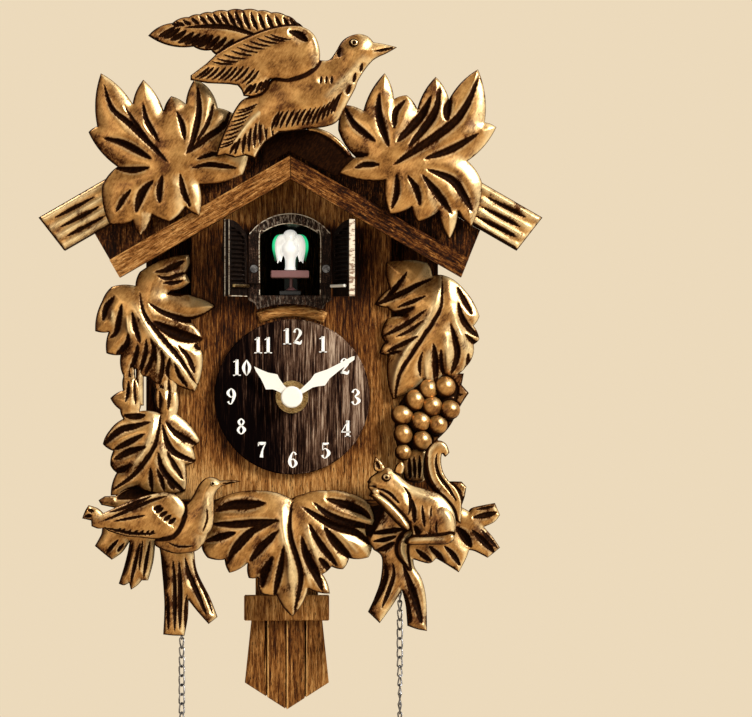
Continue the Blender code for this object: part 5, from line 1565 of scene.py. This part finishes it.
def add_doors():
    """The two louvred doors, built standing open."""
    for side, word in ((-1, "left"), (1, "right")):
        joint = JOINTS[f"{word}_door_swing"]
        hinge = Vector(joint["pos_m"]) / MM
        angle = math.radians(joint["range_deg"][1])
        along = Vector((side * -math.cos(angle), -math.sin(angle), 0))
        outward = Vector((side * math.sin(angle), -math.cos(angle), 0))
        turn = Matrix((
            (along.x, outward.x, 0, hinge.x),
            (along.y, outward.y, 0, hinge.y),
            (0, 0, 1, 0),
            (0, 0, 0, 1),
        ))
        build = Build()
        for u0, u1 in ((0, STILE), (DOOR_W - STILE, DOOR_W - 0.5)):
            us = [u0, (u0 + u1) / 2, u1]
            strip_into(build, us, lambda u: DOOR_FOOT, door_top, 0.25, DOOR_T - 0.25, turn)
        inner, outer = STILE - 0.2, DOOR_W - STILE + 0.2
        box_into(build, (inner, 0.35, DOOR_FOOT), (outer, DOOR_T - 0.35, DOOR_FOOT + FOOT_RAIL), turn)
        us = [inner + (outer - inner) * i / 8 for i in range(9)]
        strip_into(build, us, lambda u: door_top(u) - HEAD_RAIL, door_top, 0.35, DOOR_T - 0.35, turn)
        strip_into(build, us, lambda u: DOOR_FOOT + 5, lambda u: door_top(u) - 2, 1.6, 2.1, turn)
        for i in range(SLATS):
            z = DOOR_FOOT + FOOT_RAIL + 0.6 + SLAT_PITCH * i
            start = inner + max(0.0, z + 4.0 - door_top(inner)) * 1.4
            for depth in (1.1, 2.6):
                place = turn @ Matrix.Translation((0, depth, z + 0.6)) @ SLAT_TILT
                box_into(build, (start, -SLAT_HALF, -0.3), (outer, SLAT_HALF, 0.3), place)
        build.piece(
            f"louvred_door_{word}", "door_wood", f"{word}_door", "frame_wood", [f"door_{word}"],
            bevel=0.15,
        )
        lip = Build()
        strip_into(lip, [DOOR_W - 0.5, DOOR_W], lambda u: DOOR_FOOT, door_top, 0.1, DOOR_T - 0.8, turn)
        lip.piece(
            f"door_lip_{word}", "cream_edge" if side > 0 else "door_wood", f"{word}_door", "frame_wood",
            bevel=0.12,
        )
        if side < 0:
            lines = Build()
            for w in (0.0, 2.1):
                ends = [DOOR_W - 0.1, DOOR_W + 0.08]
                strip_into(lines, ends, lambda u: DOOR_FOOT, door_top, w, w + 0.24, turn)
            box_into(lines, (0.6, -0.1, DOOR_FOOT), (DOOR_W, 0.15, DOOR_FOOT + 0.3), turn)
            lines.piece("door_lines_left", "cream_edge", "left_door", "frame_wood")


# ---------------------------------------------------------------- pendulum boards, lip and stems
BOARD_TOP, BOARD_CORNER, BOARD_TIP = -97.4, -133.4, -146.0
BOARD_HALF, BOARD_FLARE = 15.8, 19.6


def board_foot(u):
    """The height of the pendulum's pointed lower edge, a distance u from its middle."""
    return BOARD_TIP + (BOARD_CORNER - BOARD_TIP) * abs(u) / BOARD_FLARE


def add_pendulum():
    """Four upright planks with a rounded edge beside each joint, on a thin backing."""
    low, high = mm_box("pendulum_boards")
    build = Build()
    edges = [-BOARD_FLARE, *PLANK_JOINTS, BOARD_FLARE]
    for left, right in zip(edges, edges[1:]):
        us = np.linspace(left + 0.28, right - 0.28 if right < BOARD_FLARE else right, 9)
        us[0] = left if left == -BOARD_FLARE else us[0]
        plank(build, us, low.y, high.y - 0.8)
    plank(build, np.linspace(-BOARD_FLARE + 0.4, BOARD_FLARE - 0.4, 17), high.y - 1.0, high.y, 0.4)
    build.piece(
        "pendulum_planks", "pendulum_wood", "pendulum", "case_wood", ["pendulum_boards"], bevel=0.25,
    )


def plank(build, us, front, rear, inset=0.0):
    """An upright board across `us`: square at its top, cut to the pendulum's point, flared outside."""
    points = []
    for u in us:
        half_at_top = u * BOARD_HALF / BOARD_FLARE if abs(u) > 10 else u
        for y in (front, rear):
            points.append((PENDULUM_X + half_at_top, y, BOARD_TOP - inset))
            points.append((PENDULUM_X + u, y, board_foot(u) + inset))
    faces, last = [(0, 1, 3, 2)], 4 * (len(us) - 1)
    for i in range(0, last, 4):
        faces += [
            (i, i + 4, i + 5, i + 1), (i + 2, i + 3, i + 7, i + 6), (i, i + 2, i + 6, i + 4),
            (i + 1, i + 5, i + 7, i + 3),
        ]
    faces.append((last, last + 2, last + 3, last + 1))
    build.add(points, faces)


LIP_BACK, LIP_OUTER, LIP_INNER = -53.8, 42.2, 37.0


def add_lip():
    """The smooth raised arch between the frame's sill and the dial."""
    sweep = np.radians(np.linspace(67, 113, 40))
    arch = [
        (AXIS_X + r * math.cos(a), r * math.sin(a))
        for r, turn in ((LIP_OUTER, 1), (LIP_INNER, -1))
        for a in sweep[::turn]
    ]
    build = relief(Build(), ccw(arch), LIP_BACK, 1.2, 1.4, knee=1.6, rim=0.8, seed=81)
    build.piece("dial_lip", "lip_wood", slot="case_wood")


STEMS = [
    [(-77.8, 14), (-72.2, 14), (-71.6, 4), (-72.0, -4), (-77.6, -4), (-77.0, 4)],
    [(-71.6, 14), (-68.0, 14), (-68.0, -4), (-71.6, -4)],
    [(-63.8, 10), (-52.0, 10), (-53.0, -2), (-54.4, -8), (-60.6, -8), (-62.0, 0)],
]


def add_stems():
    """The two grooved stalks that run from the lower left leaf up behind the upper one."""
    build = Build()
    back = back_of("leaf_left_lower") - 0.4
    cuts = [
        [(1.4, [(-74.6, 14), (-74.2, 4), (-74.4, -4)])],
        [],
        [(1.5, [(-60.6, 10), (-59.6, 2), (-58.4, -8)]), (1.4, [(-56.4, 10), (-56.2, 2), (-56.6, -8)])],
    ]
    bright = [
        [(1.2, [(-72.8, 14), (-72.4, 4), (-72.8, -4)])],
        [(1.8, [(-69.6, 14), (-69.6, 4), (-69.6, -4)])],
        [(1.2, [(-58.3, 10), (-57.8, 2), (-57.2, -8)]), (1.2, [(-54.2, 10), (-54.6, 2), (-55.4, -8)])],
    ]
    for number, outline in enumerate(STEMS):
        relief(
            build, ccw(outline), back, 2.6, 1.2, cuts[number], bright[number], knee=2, seed=90 + number,
            pitch=FINE,
        )
    bronze(build, "leaf_stems")


CREST_SHADE_BLOCK = [
    (-13, 105.5), (-12, 117), (-7.4, 120.5), (1.8, 121.9), (12.2, 122.6), (20.2, 119), (26, 112.8),
    (29.4, 108.8), (21.4, 100.6), (-0.5, 112),
]
CREST_STALK = [
    (8, 123.6), (12.4, 122.9), (18, 120.6), (22.6, 117.2), (26.2, 113.2), (28, 110.4), (26.4, 109.8),
    (24.6, 111.8), (21.2, 115.2), (16.8, 118.4), (11.8, 120.8), (8, 121.6),
]


def add_crest_shade_block():
    """A near-black block under the crest bird, painted shade there, and the pale stalk from it down to the right
    leaf.
    """
    back = back_of("leaf_top_right") - 0.3
    build = Build()
    # Near black all over: painted shade behind the bird.
    relief(build, ccw(CREST_SHADE_BLOCK), back, 0.9, 0.3, gloom=0.97, knee=1, rim=0.5, seed=95, pitch=FINE)
    layer(build, CREST_STALK, back - 1.1, 1.0, 0.6, knee=1, rim=0.5, seed=96, spacing=0.6)
    bronze(build, "crest_shade_block")


WIRE_Z = 51.0  # the rods that open the doors pass the doorway's sides here


def add_beads():
    """Thin pale edges round the doorway and round the frame's head."""
    build = Build()
    for half, foot, spring, top in ((14.0, 47.0, 74.6, 79.9), (18.6, 75.0, 75.0, 84.3)):
        rise = top - spring
        radius = (half**2 + rise**2) / (2 * rise)
        head = [half * i / 6 for i in range(-6, 7)]
        line = [(DOORWAY_X + x, top - radius + math.sqrt(radius**2 - x**2), 0.34) for x in head]
        face = mm_box("door_frame")[0].y - 0.1
        if foot < spring:
            line = [(DOORWAY_X - half, WIRE_Z + 1.6, 0.34), *line, (DOORWAY_X + half, WIRE_Z + 1.6, 0.34)]
            for x in (DOORWAY_X - half, DOORWAY_X + half):
                ribbon(build, [(x, foot, 0.34), (x, WIRE_Z - 1.6, 0.34)], np.zeros(2), 1, face)
        ribbon(build, line, np.zeros(2), 1, face)
    build.piece("doorway_beads", "cream_edge", slot="frame_wood")


CUP_BACK, CUP_RADIUS, CUP_Z, CUP_HALF = -3.1, 8.5, 88.0, 3.0


def add_keyhole_cup():
    """A pressed steel cup inside the back panel, round the head of the wall hook."""
    loop = [
        (side * CUP_RADIUS * math.cos(a), CUP_Z + side * (CUP_HALF + CUP_RADIUS * math.sin(a)))
        for side in (1, -1)
        for a in np.radians(np.arange(0, 180, 12))
    ]
    build = relief(Build(), ccw(loop), CUP_BACK, 0.8, 3.4, knee=1.6, rim=0.5, seed=86)
    build.piece("keyhole_cup", "dark_steel")


WING_LOBE = [
    (-88.8, -47.6), (-86, -45.8), (-81, -45.6), (-77, -42.0), (-71, -40.6), (-60, -40.6), (-60, -50),
    (-80, -51.4), (-87.5, -49.8),
]


def add_wing_lobe():
    """The carved lobe and its deep hollow, between the lower left leaf and the small bird's wing."""
    hollow = [(5.5, [(-81.5, -47.4), (-75, -45.0), (-66, -43.8), (-58, -43.6)])]
    back = back_of("leaf_left_lower") - 0.6
    build = relief(Build(), ccw(WING_LOBE), back, 2.4, 1.4, hollow, knee=2, seed=95, pitch=FINE)
    bronze(build, "wing_lobe")


# ---------------------------------------------------------------- cuckoo
CUCKOO_Y, BEAK_Y, BEAK_Z = -52.0, -56.4, 73.4
CUCKOO_BODY = [
    (0, 77.2), (1.5, 76.9), (2.7, 76.0), (3.3, 74.6), (3.2, 73.2), (2.6, 72.0), (3.3, 70.8),
    (4.2, 69.0), (4.2, 67.2), (3.3, 65.4), (2.5, 63.8), (2.3, 61.5), (2.4, 59.4), (2.6, 58.6),
    (0, 58.6),
]
CUCKOO_WING = [
    (1.2, 74.2), (3.6, 75.0), (5.6, 74.2), (6.8, 71.6), (7.0, 68.2), (6.5, 64.8), (5.9, 61.6, 1),
    (4.9, 62.8, 1), (4.2, 62.2, 1), (3.4, 65.2), (2.2, 69),
]


def turned(build, profile, x, y, sides=32, flatten=1.0):
    """A profile of (radius, height) pairs turned about an upright axis."""
    points = [
        (
            x + r * math.cos(2 * math.pi * j / sides),
            y + flatten * r * math.sin(2 * math.pi * j / sides),
            z,
        )
        for r, z in profile
        for j in range(sides)
    ]
    build.add(points, rings_faces(len(profile), sides))


def add_cuckoo():
    """The white cuckoo and its lit wings."""
    build = Build()
    profile = [(max(r, 0.0), z) for r, z in flow(CUCKOO_BODY, 0.5)]
    turned(build, profile, DOORWAY_X, CUCKOO_Y, 32, 0.85)
    for side in (-1, 1):
        wing = ccw([(DOORWAY_X + side * x, z) for x, z in flow(CUCKOO_WING, 0.5, True)])
        quills = []
        for i in range(3):
            x = DOORWAY_X + side * (4.0 + 0.9 * i)
            quills.append((0.45, [(x - side * 0.6, 71 - i), (x, 67), (x - side * 0.2, 63.5)]))
        relief(build, wing, CUCKOO_Y + 0.4, 1.0, 0.9, quills, knee=1.5, rim=0.5, seed=70, depth=0.5)
    turned(build, [(0.0, 0.8), (1.15, 0.5), (1.3, 0.0), (0.9, -0.5), (0.0, -0.7)], 0, 0, 12)
    x, y, z = build.points[-1].T
    build.points[-1] = np.column_stack([DOORWAY_X + 0.9 * x, BEAK_Y - 2.4 * z, BEAK_Z + 0.9 * y])
    build.piece("cuckoo_bird", "bird_white_glow", "cuckoo_slide", "white_plastic", ["cuckoo"])
    for side in (-1, 1):
        glow = Build()
        around = flow(CUCKOO_WING, 0.5, True)
        wing = ccw([(DOORWAY_X + side * (x * 1.16 + 0.2), z * 0.94 + 4.6) for x, z in around])
        relief(glow, wing, CUCKOO_Y + 2.4, 0.7, 0.5, knee=1.5, rim=0.4, seed=71)
        glow.piece(
            f"lit_wing_{'left' if side < 0 else 'right'}", "wing_glow", "cuckoo_slide", "lamp_green",
        )


# ---------------------------------------------------------------- chains and pinecones
CHAIN_X = (-51.6, 50.2)
CHAIN_Y = -30.0
CHAIN_TOP, CHAIN_END = -60.9, -252.0
LINK_W, LINK_WIRE, LINK_PITCH = 3.2, 0.8, 4.35
LINK_TWIST = math.radians(36)


def link(build, centre, length, turn, sides=6, steps=20):
    """One oval link of a twisted chain: its plane turns by LINK_TWIST from its middle to each end."""
    r = (LINK_W - LINK_WIRE) / 2
    straight = length / 2 - LINK_WIRE / 2 - r
    points = []
    for i in range(steps):
        a = 2 * math.pi * i / steps
        out, up = math.cos(a), math.sin(a)
        bend = straight * smooth(abs(up), 0.0, 0.35) * math.copysign(1, up)
        for j in range(sides):
            b = 2 * math.pi * j / sides
            wide, deep = LINK_WIRE / 2 * math.cos(b), LINK_WIRE / 2 * math.sin(b)
            across, height = out * (r + wide), bend + up * (r + wide)
            plane = turn + LINK_TWIST * height / (length / 2)
            points.append((
                centre[0] + across * math.cos(plane) - deep * math.sin(plane),
                centre[1] + across * math.sin(plane) + deep * math.cos(plane),
                centre[2] + height,
            ))
    build.add(points, rings_faces(steps, sides, True))


def add_chain(word, x, cone, twist):
    """A twisted chain: `twist` is how far it has turned, in degrees, from one link to the next."""
    length = CHAIN_TOP - CHAIN_END
    count = round(length / LINK_PITCH)
    pitch = length / count
    build = Build()
    for i in range(count):
        z = CHAIN_TOP - pitch * (i + 0.5)
        link(build, (x, CHAIN_Y, z), pitch + 2 * LINK_WIRE, math.radians(twist * i))
    chain = build.piece(
        f"link_chain_{word}", "dark_steel", f"{word}_weight", replaces=[f"chain_{word}"], sharp=60,
    )


CONE_TURNS = 62
GOLDEN = math.pi * (3 - math.sqrt(5))


def add_pinecone(word, x):
    """A weight: overlapping scales round a core, in a spiral, under a small cap."""
    low, high = mm_box(f"cone_{word}")
    length, widest = high.z - low.z, (high.x - low.x) / 2
    build = Build()

    def girth(t):
        return widest * (0.16 + 0.84 * math.sin(math.pi * min(1.0, 0.10 + 0.93 * t ** 0.72)) ** 0.75)

    core = [(0.0, high.z)] + [
        (girth(t) * 0.72, high.z - length * t)
        for t in np.linspace(0.02, 0.96, 18)
    ] + [(0.0, low.z + 0.5)]
    turned(build, core, x, CHAIN_Y, 20)
    # The core, seen only between the scales, is dark: painted shade.
    build.dark[-1] = np.full(len(build.dark[-1]), 0.9)
    for i in range(CONE_TURNS):
        t = 0.07 + 0.89 * (i / (CONE_TURNS - 1)) ** 0.93
        around = i * GOLDEN
        out = girth(t)
        wide = 0.34 * out + 1.6
        tall = 3.1 + 0.20 * out
        scale(build, (x, CHAIN_Y, high.z - length * t), around, out, wide, tall)
    cap = [(0.0, 0.0), (1.2, 0.0), (1.6, -0.6), (2.3, -1.6), (2.9, -3.4), (0.0, -3.6)]
    turned(build, [(r, high.z + h) for r, h in cap], x, CHAIN_Y, 16)
    return build.piece(
        f"pinecone_{word}", "carved_bronze", f"{word}_weight", replaces=[f"cone_{word}"], sharp=50,
    )


def scale(build, centre, around, out, wide, tall, steps=6):
    """A pinecone's scale: a rounded shield, thick at its lip, that stands a little off the core."""
    x, y, z = centre
    points, dark = [], []
    for inner in (0, 1):
        for i in range(steps + 1):
            v = i / steps
            half = wide * math.sin(math.pi * (0.12 + 0.60 * v)) * (1.0 - 1.5 * max(0.0, v - 0.75))
            for j in range(steps + 1):
                u = (j / steps - 0.5) * 2
                lift = out * (0.68 + 0.34 * v**1.3) - 0.9 * u * u * (1 - 0.3 * v)
                lift -= 0.0 if inner == 0 else 0.8 + 0.2 * (1 - v)
                lift += 0.35 * math.exp(-((u / 0.25) ** 2)) * v * (inner == 0)
                a = around + half * u / max(out, 2.0)
                drop = tall * (0.9 - 1.5 * v) - 0.7 * u * u * v
                points.append((x + lift * math.cos(a), y + lift * math.sin(a), z + drop))
                # Painted shade: each scale darkens towards its base, where it tucks under the one above, and on
                # its underside.
                dark.append(0.95 * (1 - v) ** 0.8 if inner == 0 else 0.85)
    row_size, size = steps + 1, (steps + 1) ** 2
    faces = []
    for i in range(steps):
        for j in range(steps):
            a, b = i * row_size + j, (i + 1) * row_size + j
            faces += [(a, a + 1, b + 1, b), (size + a, size + b, size + b + 1, size + a + 1)]
    rim = [*range(steps), *range(steps, size - 1, row_size)]
    rim += [*range(size - 1, size - row_size, -1), *range(size - row_size, 0, -row_size)]
    for a, b in zip(rim, rim[1:] + rim[:1]):
        faces.append((a, size + a, size + b, b))
    build.add(points, faces, dark, [0.6 * (d < 0.2) for d in dark])


# ---------------------------------------------------------------- the clock
add_camera()
add_studio()
for word, x, twist in zip(("left", "right"), CHAIN_X, (11, 15)):
    add_chain(word, x, add_pinecone(word, x), twist)
add_leaves()
add_crest_bird()
add_small_bird()
add_squirrel()
add_twigs()
add_grapes()
add_beams()
add_stems()
add_crest_shade_block()
add_dial()
add_lip()
add_doors()
add_pendulum()
add_beads()
add_keyhole_cup()
add_wing_lobe()
add_cuckoo()

# ---------------------------------------------------------------- finishes of the parts kept from the frame
KEPT = {
    "front_panel": "front_wood",
    "gable_board": "gable",
    "fascia_left": "fascia_left",
    "fascia_right": "fascia_right",
    "roof_left": "roof_left",
    "roof_right": "roof_right",
    "base_board": "board_wood",
    "door_wire_right": "white_plastic",
    "pendulum_neck": "pendulum_wood",
    "pendulum_header": "header_wood",
    "pendulum_boards": "pendulum_wood",
}
record_slots = {part["node"]: part["material_slot"] for part in frame["record"]["subparts"]}
for node, obj in frame["nodes"].items():
    look = LOOKS[KEPT.get(node, record_slots[node])]
    obj.data.materials.clear()
    obj.data.materials.append(look)
